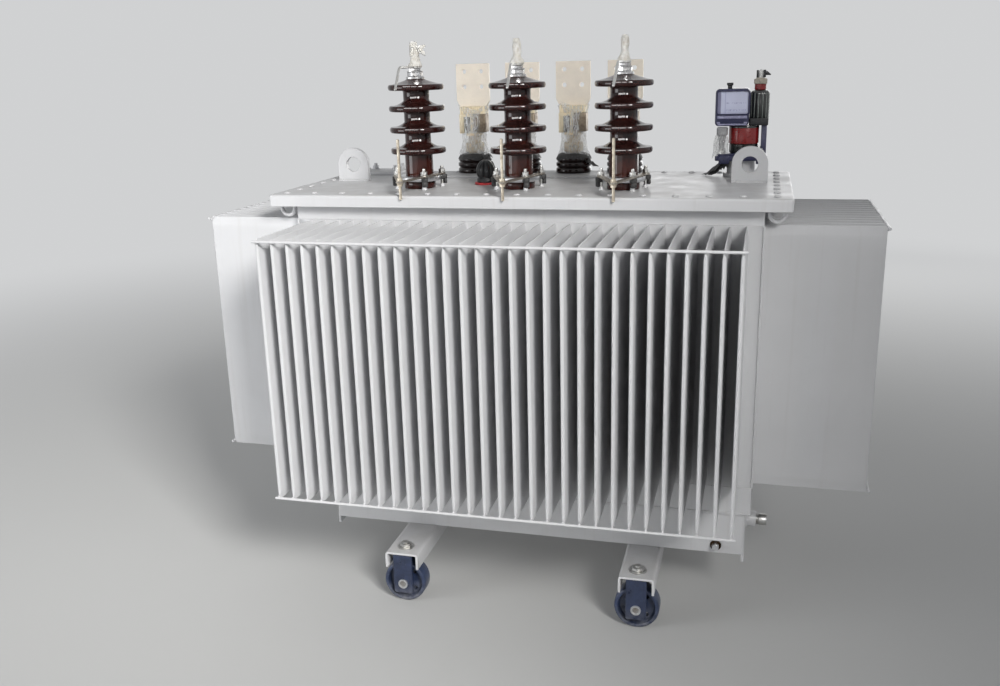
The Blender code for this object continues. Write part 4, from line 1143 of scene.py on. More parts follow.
# %% Spark bracket
HORN_REACH, HORN_Z, HORN_TIP_Z = 0.198, 0.336, 0.277
HORN_BEND = {1: 0.150, 2: 0.124, 3: 0.120}
HORN_TURN = {1: 3.5, 2: 6.4, 3: 0.0}
BRACKET_TURN = {1: 3.5, 2: 1.0, 3: 0.5}
ARM_W, ARM_T, ARM_PASS = 0.018, 0.004, 0.050


def flat_bar(start, angle, length, low, high):
    """A flat bar in a heading: its four corners in the bar's own axes, softened, then made thick."""
    ahead = np.array([math.sin(angle), math.cos(angle)])
    beside = np.array([-ahead[1], ahead[0]])
    r = ARM_W / 2
    corners = [start + ahead * u + beside * v for u, v in ((-r, -r), (length, -r), (length, r), (-r, r))]
    return plate(soften(corners, 0.004, steps=5), low, high, "Z", 0.0008)


def round_rod(points, radius, bend=0.008):
    """A round bar: its corner points are softened, and the last millimetres draw in to a blunt tip."""
    line = soften(points, bend, closed=False, steps=8)
    t0, t1 = line[1] - line[0], line[-1] - line[-2]
    t0, t1 = t0 / np.linalg.norm(t0), t1 / np.linalg.norm(t1)
    line = np.concatenate([line[:1], line[:1] + t0 * radius * 0.5, line[1:-1], line[-1:] - t1 * radius * 0.5,
                           line[-1:]])
    scale = np.ones(len(line))
    scale[[0, -1]] = 0.5
    return carried(circle(radius, 14), line, (1, 0, 0), scale)


pass_by = math.asin(ARM_PASS / HORN_REACH)
open_by = pass_by + math.radians(5)
rod_rows = [(0, -0.0092), *threads(0.0043, 0.0004, -0.0092, 0.0014, 50), (0, 0.0594)]
for n, base in HV.items():
    tip = base[:2] - [0, HORN_REACH]
    z = base[2] + 0.0356
    arms = together(flat_bar(tip, pass_by, (HORN_REACH + 0.036) / math.cos(pass_by), z, z + ARM_T),
                    flat_bar(tip, -open_by, (HORN_REACH - 0.030) / math.cos(open_by), z + 0.0001,
                             z + ARM_T - 0.0001))
    put(f"spark_arms_{n}", turned(arms, BRACKET_TURN[n], about=base), arm_steel,
        stands_for=f"spark_bracket_{n}")
    rod = together(round_rod([[*tip, base[2] - 0.011], [*tip, base[2] + 0.1515]], 0.004),
                   lathe(rod_rows, 14, [*tip, base[2]]),
                   bolt([*tip, z + 0.0041], 0.014, 0.0065, washer=0.020),
                   bolt([*tip, z - 0.0001], 0.014, -0.0065, washer=0.020))
    put(f"spark_rod_{n}", turned(rod, BRACKET_TURN[n], about=base), zinc)

# %% [markdown]
# The cap is a nickel-plated disc with two hexagon nuts.  For shipping, the stud is wound with crepe tape,
# and no two windings are alike: the radius follows the height and a slow spiral, and a torn end hangs
# off the first one.  Random numbers come from a fixed seed, so every run gives the same winding.

# %% Cap, nuts, horn and taped stud
def wound(rows, seed, lumps=0.10):
    """Tape round a stud: r(a, z) = profile (1 + lumps (sin(2a + spiral) + sin(3a - spiral) / 2 + ridges))."""
    length = np.linspace(0, len(rows) - 1, 64)
    r0, z = (np.interp(length, np.arange(len(rows)), rows[:, k])[:, None] for k in (0, 1))
    a = directions(40)[None]
    lean = np.random.default_rng(seed).uniform(0, 6.28, 4)
    spiral = z * 260.0
    wave = np.sin(2 * a + spiral * 0.6 + lean[0]) + 0.5 * np.sin(3 * a - spiral + lean[1])
    ridge = 0.45 * np.abs(np.sin(spiral * 1.7 + a + lean[2]))
    ridge = ridge + 0.25 * np.sin(9 * a + 3 * np.sin(spiral + lean[3]))
    r = r0 * (1 + lumps * (wave + ridge))
    shift = 0.0016 * np.sin(z * 42 + lean[0])
    return outward(surface(grid(r * np.cos(a) + shift, r * np.sin(a) + shift * 0.5, z)))


def torn_flag(width, height, seed):
    """A loose end of tape, h(u, v) = a curl with u plus a ripple with v, as one thin sheet."""
    u, v = np.meshgrid(np.linspace(0, 1, 16), np.linspace(-0.5, 0.5, 10), indexing="ij")
    notch = 0.30 * np.exp(-((v - 0.08) / 0.16) ** 2) * u ** 2
    ragged = 1 + 0.05 * np.sin(v * 23 + np.random.default_rng(seed).uniform(0, 6)) * u - notch
    z = v * height * (0.45 + 0.55 * u) - 0.004 * u ** 2
    y = -0.003 * np.sin(u * 3.0 + v * 1.5) - 0.0008 * np.sin(v * 14)
    return surface(grid(u * width * ragged, y, z), columns_closed=False)


cap_rows = mm((0, 303.3), (24.5, 303.3), (26, 304.5), (26, 308.8), (24.4, 310.6), (0, 311))
washer_rows = mm((0, 323), (22.2, 323), (22.8, 323.6), (22.8, 325), (22.2, 325.6), (0, 325.6))
stud_tape = {1: mm((0, 333.5), (16.5, 334.5), (19.5, 340), (15, 352), (11.8, 362), (12.4, 380), (11.8, 396),
                   (8.5, 404), (0, 405.2)),
             2: mm((0, 333.5), (16, 334.5), (18.5, 340), (16, 350), (11.2, 360), (10.5, 384), (11, 398),
                   (8, 404.5), (0, 405.4)),
             3: mm((0, 333.5), (15, 334.5), (17, 339), (12.5, 350), (10, 364), (9.8, 385), (10, 399),
                   (7, 404.6), (0, 405.5))}
for n, base in HV.items():
    cap = together(lathe(cap_rows, 48, base), bolt(base + [0, 0, 0.311], 0.040, 0.012),
                   lathe(washer_rows, 32, base),
                   turned(bolt(base + [0, 0, 0.3256], 0.033, 0.0078), 17, about=base))
    put(f"terminal_nuts_{n}", cap, nickel, stands_for=f"hv_terminal_{n}", smooth=35)
    put(f"stud_tape_{n}", wound(stud_tape[n], 40 + n), crepe, smooth=70, at=base)
    x, y, horn_z = base + [0, 0, HORN_Z]
    horn = together(round_rod([[x, y - 0.012, horn_z], [x, y - HORN_BEND[n], horn_z],
                               [x, y - HORN_REACH, base[2] + HORN_TIP_Z]], 0.0035, 0.014),
                    holed(circle(0.0185, 32) + base[:2], base[:2], 0.0105, horn_z - 0.0022, horn_z + 0.0022,
                          "Z", 0.0008))
    put(f"spark_horn_{n}", turned(horn, HORN_TURN[n], about=base), zinc_bright)
put("tape_flag", torn_flag(0.030, 0.030, 7), crepe, smooth=70, at=HV[1] + [0.006, -0.006, 0.384],
    modifiers=[("SOLIDIFY", {"thickness": 0.0005, "offset": 0.0})])

# %% [markdown]
# ## Low-voltage bushings
# Each low-voltage line leaves the tank as a thick stem in a low ringed insulator.  Above it sit a lock
# nut, a split clamp and a flat palm with four holes for cable lugs.  A black rubber skirt lies ragged
# over the insulator, and packing film is crumpled round the stem.

# %% Low insulator, skirt and stem
def skirt(seed):
    """A rubber skirt: radius and height of its edge wander with direction, the sheet is thin."""
    a = directions(72)[None]
    rng = np.random.default_rng(seed)
    edge = sum(rng.uniform(0.4, 1.0) * np.sin(k * a + rng.uniform(0, 6.28)) for k in (2, 3, 5, 8, 13))
    s = np.array([0.0, 0.25, 0.5, 0.75, 0.92, 1.0])[:, None]
    r = 0.030 + (0.0555 - 0.030 + 0.0013 * edge) * s
    z = 0.0615 - 0.0050 * s - (0.0130 + 0.0016 * edge) * s ** 6 + 0.0005 * np.sin(9 * a) * s
    inner_r, inner_z = r - 0.0016, z - 0.0016 * (1 - s ** 6)
    outer = grid(r * np.cos(a), r * np.sin(a), z)
    inner = grid(inner_r * np.cos(a), inner_r * np.sin(a), inner_z)[::-1]
    return outward(surface(np.concatenate([outer, inner]), rows_closed=True))


low_rows = mm((0, 0), (54, 0), (55.5, 1.2), (56, 7), (55.2, 13), (52.5, 15.2), (51.2, 17.2), (52.5, 19.4),
              (55.2, 21.2), (56, 26), (55.2, 30.8), (52.5, 32.8), (51.2, 34.8), (52.5, 37), (54.8, 38.8),
              (55, 44), (52.5, 48.2), (45, 51.8), (36, 53), (0, 53))
stem_rows = [(0, 0.0533), (0.0205, 0.0535), *threads(0.0212, 0.001, 0.0955, 0.0014, 24), (0.0205, 0.1295),
             (0, 0.13)]
LV = {n: standing(f"lv_insulator_{n}") for n in (1, 2, 3, 4)}
for n, base in LV.items():
    put(f"lv_porcelain_{n}", lathe(low_rows, 72, base), porcelain_dark, stands_for=f"lv_insulator_{n}",
        smooth=60)
    put(f"lv_skirt_{n}", skirt(60 + n), black_rubber, smooth=60, at=base)
    lock = turned(bolt(base + [0, 0, 0.064], 0.053, 0.030), 12 + 31 * n, about=base)
    put(f"lv_stem_{n}", together(lathe(stem_rows, 32, base), lock), clamp_tin, smooth=35)

# %% [markdown]
# The clamp is two castings pulled together on the stem by side bolts: pale tinned posts with a recess
# and a bare thread on the left, a block on the right.  The back of the recess is painted nearly black and
# the right block is a darker copy of the tin, both painted shade.  The comb above them has upright
# ribs; an outline with a wave along its front edge gives them.

# %% Split clamp
RIBS, RIB_DEPTH = 11, 0.003
x = np.linspace(-0.041, 0.041, RIBS * 6 + 1)
rib_edge = np.stack([x, -0.0205 - RIB_DEPTH * np.abs(np.sin(np.linspace(0, RIBS * math.pi, len(x))))],
                    axis=-1)
comb = plate(np.concatenate([rib_edge, [(0.041, 0.0245), (-0.041, 0.0245)]]), 0.1846, 0.2075, "Z", 0.001)
collar = lathe(mm((0, 116), (27, 116), (28.5, 117.5), (28.5, 124.2), (0, 124.2)), 40)
clamp_left = together(*[brick(low, high, 0.003, 0.0014) for low, high in (
    ((-0.043, -0.025, 0.124), (-0.0285, 0.0255, 0.1842)),
    ((-0.0075, -0.025, 0.124), (0.0022, 0.0255, 0.1842)),
    ((-0.043, -0.0252, 0.1755), (0.0022, 0.0255, 0.1845)))], collar, comb)
# The right block takes the darker copy of the clamp metal as painted shade.
clamp_right = brick((0.003, -0.024, 0.127), (0.043, 0.025, 0.1842), 0.005, 0.002)
# The back of the recess is painted nearly black: painted shade.
recess = brick((-0.029, -0.006, 0.1245), (-0.007, 0.025, 0.176), 0.001, 0.0008)
front_bolt = bolt((0.010, -0.024, 0.140), 0.011, -0.005, axis="Y", washer=0.014)
THREAD_AT, THREAD_LEAN = (-0.018, -0.0135, 0), {1: 0, 2: 9, 3: -14, 4: 5}
thread = lathe([(0, 0.125), *threads(0.0052, 0.0012, 0.125, 0.0015, 34), (0, 0.1748)], 16, THREAD_AT)
for n, base in LV.items():
    leaning = turned(thread, THREAD_LEAN[n], "Y", (-0.018, -0.0135, 0.150))
    for tag, shape, coat in (("left", clamp_left, clamp_tin), ("right", clamp_right, clamp_shaded_metal),
                             ("recess", recess, painted_shade_metal),
                             ("thread", together(front_bolt, leaning), nickel)):
        put(f"lv_clamp_{tag}_{n}", shape, coat, smooth=35, at=base)

# %% [markdown]
# The palm is a flat bar with four holes.  A flat face with holes is a puzzle of four-cornered faces, so
# each hole gets its own rectangular cell: points spaced evenly on the cell's sides are joined to points
# on the circle in the same directions.  Neighbouring cells share their side points, so they merge.

# %% Palm with four holes
PER_SIDE = 8


def cell(low, high, centre, radius):
    """Rectangle points and their partners on the circle, as two loops of the same length."""
    s = np.arange(PER_SIDE) / PER_SIDE
    corners = np.array([low, (high[0], low[1]), high, (low[0], high[1])], float)
    loop = np.concatenate([a + (b - a) * s[:, None] for a, b in zip(corners, np.roll(corners, -1, axis=0))])
    ray = loop - centre
    return loop, centre + radius * ray / np.linalg.norm(ray, axis=1, keepdims=True)


def rings_at(*rings):
    """Flat loops (x, z), each at its own y, joined one to the next."""
    return np.stack([grid(p[:, 0], y, p[:, 1]) for p, y in rings])


def palm_patch(half, foot, middle, top, holes, radius, chamfer, front, back):
    """Four cells, a foot strip with cut corners, the hole walls, and the rim all round."""
    between = (holes[1] + holes[2]) / 2
    rows_z = [middle, between, top]
    parts = []
    for side, (x0, x1) in ((-1, (-half, 0)), (1, (0, half))):
        for row in (0, 1):
            loop, round_hole = cell((x0, rows_z[row]), (x1, rows_z[row + 1]),
                                    (holes[0] * side, holes[1 + row]), radius)
            parts.append(surface(rings_at((loop, front), (round_hole, front), (round_hole, back),
                                          (loop, back))))
    x = np.linspace(-half, half, PER_SIDE * 2 + 1)
    lower = foot + np.clip(np.abs(x) - (half - chamfer), 0, None) * 2
    parts += [surface(np.stack([grid(x, y, lower), grid(x, y, middle)]), columns_closed=False)
              for y in (front, back)]
    s = np.arange(PER_SIDE + 1) / PER_SIDE
    side = np.concatenate([[lower[0]], middle + (between - middle) * s, between + (top - between) * s[1:]])
    rim = np.concatenate([np.stack([x, lower], axis=-1), np.stack([0 * side[1:] + half, side[1:]], axis=-1),
                          np.stack([x[::-1][1:], 0 * x[1:] + top], axis=-1),
                          np.stack([0 * side[1:-1] - half, side[::-1][1:-1]], axis=-1)])
    return together(*parts, surface(rings_at((rim, front), (rim, back))))


def bevel(width, angle):
    """Settings of a Bevel modifier that rounds edges sharper than an angle."""
    return ("BEVEL", {"width": width, "segments": 2, "limit_method": "ANGLE",
                      "angle_limit": math.radians(angle)})


palm = palm_patch(0.054, 0.205, 0.2445, 0.339, (0.0277, 0.268, 0.315), 0.007, 0.011, -0.0075, 0.0075)
for n, base in LV.items():
    put(f"lv_palm_{n}", palm, palm_tin, stands_for=f"lv_terminal_{n}", smooth=35,
        modifiers=[bevel(0.0012, 35)], mend=True, at=base)

# %% [markdown]
# Film is drawn as one thin tube whose radius folds sharply in and out; the finish does the rest.

# %% Crumpled film and torn rags
def crumpled(levels, radii, seed, sides=132, rows=64, depth=0.075, flat=0.70):
    """Radius = r(z) (1 + depth (sum of |sin| ridges that lean a little - 1)); the edges hang unevenly."""
    a = directions(sides)[None]
    s = np.linspace(0, 1, rows)[:, None]
    height = levels[0] + (levels[-1] - levels[0]) * s
    rng = np.random.default_rng(seed)
    fold = 0
    for k in (2, 3, 5, 8, 13):
        lean, drift = rng.uniform(0, 6.28), rng.uniform(-3, 3)
        fold = fold + np.abs(np.sin(k * a + drift * s + lean + 0.7 * np.sin(2.5 * s * k + a + lean))) / k
    r = np.interp(height, levels, radii) * (1 + depth * (fold / fold.mean() - 1))
    hang = 0.005 * np.sin(2 * a + rng.uniform(0, 6)) + 0.003 * np.sin(5 * a + rng.uniform(0, 6))
    return surface(grid(r * np.cos(a), r * np.sin(a) * flat, height + hang * (np.abs(s - 0.5) * 2) ** 4))


def rag(place, length, width, lift, heading, seed):
    """A scrap of black film: a sheet whose height falls off along its length and is folded by two waves."""
    u, v = np.meshgrid(np.linspace(0, 1, 26), np.linspace(-0.5, 0.5, 18), indexing="ij")
    p, q = np.random.default_rng(seed).uniform(0, 6.28, 2)
    taper = (1 - 0.75 * u ** 1.5) * (1 + 0.12 * np.sin(9 * v + p))
    crease = np.abs(np.sin(5 * u + 3 * v + p)) + 0.6 * np.abs(np.sin(11 * v - 4 * u + q))
    z = lift * (1 - u) ** 1.3 * (0.35 + 0.4 * crease) + 0.0012 + 0.0015 * crease
    x = length * u * (1 + 0.1 * np.sin(7 * v + q))
    points, quads = turned(surface(grid(x, width * v * taper, z), columns_closed=False), heading)
    return points + np.asarray(place, float), quads


FILM_STEPS = np.array([0, 0.10, 0.26, 0.55, 0.84, 0.96, 1.0])
FILM_RADII = [0.0535, 0.0455, 0.0410, 0.0405, 0.0415, 0.0480, 0.0500]
FILM_SPAN = {1: (0.056, 0.206), 2: (0.058, 0.204), 3: (0.055, 0.208), 4: (0.057, 0.205)}
for n, base in LV.items():
    low, high = FILM_SPAN[n]
    put(f"stem_film_{n}", crumpled(low + (high - low) * FILM_STEPS, FILM_RADII, 90 + n), clear_film,
        smooth=28, at=base)
THIN = ("SOLIDIFY", {"thickness": 0.0008, "offset": 0.0})
scraps = together(rag(LV[3] + [0.046, -0.020, 0.018], 0.036, 0.036, 0.030, -12, 3),
                  rag(LV[1] + [0.042, -0.026, 0.026], 0.030, 0.034, 0.030, -25, 4))
put("skirt_scraps", scraps, black_rubber, smooth=50, modifiers=[THIN])

# %% [markdown]
# ## Tap changer
# A ribbed black knob on a red gasket turns the winding taps.  A thin sealing wire runs through it.

# %% Ribbed knob
tap = standing("tap_changer_cap")
gasket = lathe(mm((0, 0.2), (32.5, 0.2), (33.8, 1.2), (33.8, 4.8), (32.5, 6), (0, 6)), 56, tap)
collar = lathe(mm((0, 6), (25.8, 6), (26.8, 7), (26.8, 16), (25.5, 18.2), (24, 21.5), (0, 21.5)), 72, tap)
grip_rows = mm((0, 21.3), (24.2, 21.5), (26.4, 25), (28.2, 31), (28.6, 40), (27.7, 47), (24.5, 56),
               (18, 64.5), (13, 68.6), (11.2, 69.4), (0, 69.7))
grip = lathe(grip_rows, 160, tap, ripple=lambda a: 1 - 0.16 * np.abs(np.cos(4 * a)) ** 10)
wire_line = tap + mm((12, -10, 69), (20, -12, 66), (29, -14, 52), (32.5, -15, 38), (32, -15, 22),
                     (34.5, -16, 8))
put("tap_gasket", gasket, red_rubber)
put("tap_knob", together(collar, grip), black_plastic, stands_for="tap_changer_cap")
put("tap_seal_wire", carried(circle(0.0009, 8), soften(wire_line, 0.008, closed=False), (1, 0, 0)),
    zinc_bright)

# %% [markdown]
# ## Gas and oil relay
# The protection relay stands on a short pipe: a red float chamber, a dark blue display box with a pale
# window, and a smoked ribbed dome beside it with a red ring and a beige union nut.  Its pieces are
# measured from the relay's own origin on the cover and moved there all together.

# %% Relay base and chamber
RELAY = standing("relay_base")


def block(low, high, radius, edge, axis="Z"):
    """A brick whose corners and roundings are given in millimetres."""
    return brick(mm(*low), mm(*high), radius / 1000, edge / 1000, axis)


pipe = lathe(mm((0, 0), (50, 0), (51.5, 1.2), (51.5, 8), (50, 9.5), (42, 10), (40.8, 13), (40.8, 48),
                (0, 48.5)), 64)
deck = together(block((-74.5, -59.5, 48.5), (74.5, 59.5, 62.5), 10, 2),
                block((-70, -55, 62.5), (70, 55, 68), 10, 2))
ears = together(*[bolt((x, y, 0.068), 0.016, 0.008, 0.005, washer=0.020)
                  for x in (-0.056, 0.056) for y in (-0.042, 0.042)])
FLOAT_AT = (0.005, 0, 0)
chamber = lathe(mm((0, 95), (40.8, 95), (42.8, 96.5), (43.3, 100), (43.3, 140.5), (42, 144), (38, 147),
                   (0, 147)), 64, FLOAT_AT)
cup = lathe(mm((0, 68.3), (37.5, 68.3), (40.5, 70), (42, 76), (42, 93.5), (40.5, 94.9), (0, 95)), 64,
            FLOAT_AT)
rim = lathe(mm((38, 141), (43.6, 141), (43.8, 142), (43.8, 146), (42.8, 147.2), (38, 147.2)), 64, FLOAT_AT,
            closed=True)
valve = together(block((-72.5, -45, 120), (-40.5, -15, 143.5), 10, 3.5),
                 lathe(mm((0, 69), (8, 69), (8.5, 100), (10.5, 104), (10.5, 120.5), (0, 120.8)), 28,
                       (-0.0565, -0.030, 0)))
feet = together(*[block((x - 15, -62, 40), (x + 15, -48, 64), 3, 1.5) for x in (-48, 58)])
wrap = crumpled([0.060, 0.075, 0.100, 0.121], [0.0250, 0.0205, 0.0210, 0.0175], 71, 96, 40, 0.13, 0.85)
put("relay_pipe", pipe, paint_clean_and_highlight, at=RELAY)
put("relay_deck", deck, relay_navy, stands_for="relay_base", at=RELAY)
put("relay_deck_bolts", ears, zinc_bright, smooth=35, at=RELAY)
for name, patch, coat in (("float_glass", chamber, relay_red), ("float_cup", cup, relay_smoke),
                          ("float_rim", rim, relay_smoke), ("test_valve", valve, valve_grey)):
    put(f"relay_{name}", patch, coat, at=RELAY)
put("relay_valve_film", wrap, clear_film, smooth=28, at=RELAY + [-0.059, -0.032, 0])
put("relay_post", block((54, -20, 68.3), (70, 20, 147.8), 2.5, 1.4), relay_lilac, at=RELAY)
put("relay_feet", feet, relay_navy, at=RELAY)
scrap = together(rag(RELAY + [-0.044, 0, 0.0008], 0.064, 0.090, 0.056, 178, 9),
                 rag(RELAY + [-0.044, -0.012, 0.0024], 0.046, 0.060, 0.050, 196, 5))
put("relay_scrap", scrap, black_rubber, smooth=50, modifiers=[THIN])


# %% Relay display
def rectangle_frame(centre, outer, inner, front, back, radius):
    """Two rounded rectangles, each at the front and at the back: a flat frame with a square section."""
    rings = [(outer, radius, back), (outer, radius, front + 0.0012),
             (np.subtract(outer, 0.0010), radius, front), (inner, radius * 0.6, front),
             (inner, radius * 0.6, back)]
    loops = rings_at(*[(rounded_rectangle(*half, r)[0], y) for half, r, y in rings])
    return outward(surface(loops + np.asarray(centre, float), rows_closed=True))


card_x, card_z = RELAY[0], RELAY[2]
card = gauge_card("gauge_card", (0.70, 0.73, 0.93), (0.20, 0.21, 0.48), card_x - 0.0621,
                  [(card_z + 0.213, 0.0022), (card_z + 0.193, 0.0030)], card_x + 0.012)
card_rim = rectangle_frame((-0.0281, 0, 0.214), (0.0485, 0.036), (0.0432, 0.0314), -0.0548, -0.049, 0.009)
# Two pale strips cross the display; the two small tabs at the ends of the navy band are painted glints on the
# clear cover's corners.
bands = together(block((-70.7, -52.2, 169.2), (12.9, -48, 177.8), 1.2, 0.8, "Y"),
                 block((-70, -52.2, 150), (12, -48, 154.8), 1, 0.8, "Y"),
                 *[block((x - 4.5, -52.8, 154.5), (x + 4.5, -48, 160), 1, 0.8, "Y") for x in (-67.5, 8.5)])
knob = lathe(mm((0, 0), (6.2, 0), (6.6, 8), (9.2, 9.5), (9.6, 15), (8.4, 16.5), (0, 16.7)), 48,
             (-0.039, -0.020, 0.2532), ripple=lambda a: 1 - 0.04 * np.abs(np.cos(8 * a)) ** 4)
put("relay_display", block((-78, -50, 147.5), (18, 50, 253), 11, 4, "Y"), relay_navy,
    stands_for="relay_head", at=RELAY)
put("relay_card", block((-71.5, -51.2, 182.5), (15.2, -48, 245.5), 2, 0.6, "Y"), card, at=RELAY)
put("relay_card_rim", card_rim, relay_navy, smooth=50, at=RELAY)
put("relay_bands_and_painted_glints", bands, relay_strip_and_glint, at=RELAY)
put("relay_knob", knob, black_plastic, at=RELAY)

# %% Relay dome
DOME_AT = np.array([0.0462, -0.002, -0.009])
dome_glass = lathe(mm((0, 169), (26.2, 169), (27, 170), (27, 244), (25.6, 250), (22.2, 254.5), (15, 257),
                      (0, 257.2)), 96, DOME_AT, ripple=lambda a: 1 - 0.05 * np.abs(np.sin(7 * a)) ** 8)
ribs = together(*[turned(block((25.5, -1.1, 171), (27.7, 1.1, 248), 0.8, 0.5), -97 + 180 / 7 * k)
                  for k in range(14)])
union_ring = lathe(mm((0, 257.2), (15.8, 257.2), (16.6, 258), (16.6, 272), (15.5, 273.2), (0, 273.2)), 48,
                   DOME_AT)
union = together(bolt(DOME_AT + [0, 0, 0.2732], 0.037, 0.015),
                 lathe(mm((0, 288), (13.5, 288), (13, 290.5), (0, 291)), 32, DOME_AT))
plug = lathe(mm((0, 290.5), (6.2, 290.5), (6.2, 308), (5.2, 312), (3, 313.8), (0, 314)), 28, DOME_AT)
clip_end = np.linspace(DOME_AT + [0.013, 0, 0.304], DOME_AT + [0.0275, 0, 0.2985], 6)
clip = together(brick(DOME_AT + [-0.0125, -0.006, 0.2908], DOME_AT + [-0.0064, 0.006, 0.312], 0.002, 0.001),
                brick(DOME_AT + [0.0064, -0.006, 0.2912], DOME_AT + [0.014, 0.006, 0.3125], 0.002, 0.001),
                carried(circle(0.0062, 16), clip_end, (0, 0, 1), [1.0, 0.95, 0.8, 0.6, 0.4, 0.25]))
put("relay_dome", dome_glass, relay_smoke, at=RELAY)
put("relay_dome_ribs", ribs, rib_grey, at=RELAY + DOME_AT)
put("relay_dome_plate", block((18.2, -33, 148.2), (73, 33, 168.8), 6, 2), black_plastic,
    at=RELAY)
put("relay_union_ring", union_ring, relay_red, at=RELAY)
put("relay_union_nut", union, beige, smooth=35, at=RELAY)
put("relay_plug", plug, plug_white, at=RELAY)
put("relay_clip", clip, black_plastic, smooth=45, at=RELAY)

# %% [markdown]
# ## Base and rollers
# The low box under the tank is bent from plate and seamed to it by two welds.  Under it two channels run
# across, and each end carries a roller in a fork that can be turned by a quarter and bolted again.

# %% Base box and its welds
END_DROP, END_T = 0.023, 0.008
base_low, base_high = measure("base_frame")
base_floor = base_low[2] + END_DROP
middle_x = (base_low[0] + base_high[0]) / 2
half = (base_high - base_low)[:2] / 2
skirt_rows = [(0.004, base_floor), (0.0012, base_floor + 0.001), (0, base_floor + 0.004),
              (0, base_high[2] - 0.001), (0.001, base_high[2]), (0.007, base_high[2]),
              (0.008, base_high[2] - 0.001), (0.008, base_floor + 0.006)]
shell = boxed((middle_x, 0, 0), half[0], half[1], 0.010, skirt_rows)
ends = [brick((x, -half[1] + 0.004, base_low[2]), (x + END_T, half[1] - 0.004, base_floor + 0.010),
              0.002, 0.0016, "X") for x in (base_low[0], base_high[0] - END_T)]
put("base_box", together(shell, *ends), paint, stands_for="base_frame")
tank_low, tank_high = measure("tank")
fold_low, fold_high = measure("fin_wall_front")


def seam(half_x, half_y, corner, level, centre=0.0, **settings):
    """A weld bead round a rectangle at one height."""
    loop = rounded_rectangle(half_x, half_y, corner, 3)[0] + [centre, 0]
    loop = np.concatenate([loop, loop[:1]])
    return bead(np.column_stack([loop, np.full(len(loop), level)]), (0, 0, 1), **settings)


corner_x, corner_y = tank_high[:2] - 0.0004
levels = ((tank_low[2] + 0.0012, 0.003), (fold_low[2], 0.0018), (fold_high[2], 0.0018))
seams = [seam(corner_x, corner_y, 0.004, level, radius=radius, pitch=0.007, seed=20 + k)
         for k, (level, radius) in enumerate(levels)]
seams.append(seam(half[0] + 0.0006, half[1] + 0.0006, 0.010, base_high[2] - 0.003, middle_x, radius=0.003,
                  seed=24))
put("tank_seams", together(*seams), paint_weld, smooth=60)
corner_x, corner_y = tank_high[:2] - 0.0003
upright = [bead([(sx * corner_x, sy * corner_y, z[2]) for z in (fold_low, fold_high)], (1, 0, 0),
                radius=0.003, seed=30) for sx in (-1, 1) for sy in (-1, 1)]
put("corner_seams", together(*upright), paint_weld, smooth=60)

# %% [markdown]
# A channel is rolled with round inner corners.  Its middle line is carried along the channel as an open
# strip, and Solidify gives the wall thickness: one line describes the whole profile.

# %% Channels
CHANNEL = [("SOLIDIFY", {"thickness": 0.0065, "offset": -1.0, "use_even_offset": True}), bevel(0.0010, 50)]
for label in ("left", "right"):
    low, high = measure(f"skid_{label}")
    x, half_w = (low[0] + high[0]) / 2, (high[0] - low[0]) / 2
    outline = [(-half_w, low[2]), (-half_w, high[2]), (half_w, high[2]), (half_w, low[2])]
    outline = soften(outline, 0.011, closed=False, steps=8)
    y = np.concatenate([[low[1], low[1] + 0.001], np.linspace(low[1] + 0.02, high[1] - 0.02, 5),
                        [high[1] - 0.001, high[1]]])
    strip = surface(grid(outline[:, 0] + x, y[:, None], outline[:, 1]), columns_closed=False)
    outside = (strip[0][strip[1][:, 0]] - [x, 0, low[2]]) * [1, 0, 1]
    put(f"channel_{label}", facing(strip, outside), paint, stands_for=f"skid_{label}", modifiers=CHANNEL)

# %% [markdown]
# ### Forks and rollers
# The fork is two flat straps with a bridge over the roller.  Their lower corners are a little rounded,
# and between them runs a hollow axle whose bright turned ends stick out, each with a shallow bore.  The
# roller is turned from bar: a rounded tread, a raised ring and a recessed web with four small holes.

# %% Fork strap
STRAP_HALF, STRAP_T, SIDE_CLEAR = 0.028, 0.008, 0.006


def disc_with_holes(outer, inner, at, count, hole, low, high, steps=14):
    """A ring with round holes, cut into one cell per hole.

    In polar coordinates a cell is the rectangle [inner, outer] x one sector; its border points are
    joined to the hole's circle in the same directions, and the hole gets a wall between both faces.
    """
    k = np.arange(steps) / steps
    half, wide = math.pi / count, outer - inner
    border = np.concatenate([np.stack(np.broadcast_arrays(r, a), axis=-1) for r, a in (
        (inner, -half + 2 * half * k), (inner + wide * k, half), (outer, half - 2 * half * k),
        (outer - wide * k, -half))])
    flat = spun(border[:, 0], border[:, 1])
    ray = flat - [at, 0]
    inside = [at, 0] + hole * ray / np.linalg.norm(ray, axis=1, keepdims=True)
    one = surface(rings_at((flat, low), (inside, low), (inside, high), (flat, high)))
    return together(*[turned(one, 360 / count * (j + 0.5), "Y") for j in range(count)])


def mirrored(rows):
    """A profile and its reflection: the rows with their heights turned over follow in reverse order."""
    rows = np.array(rows)
    return np.concatenate([rows, rows[::-1] * [1, -1]])


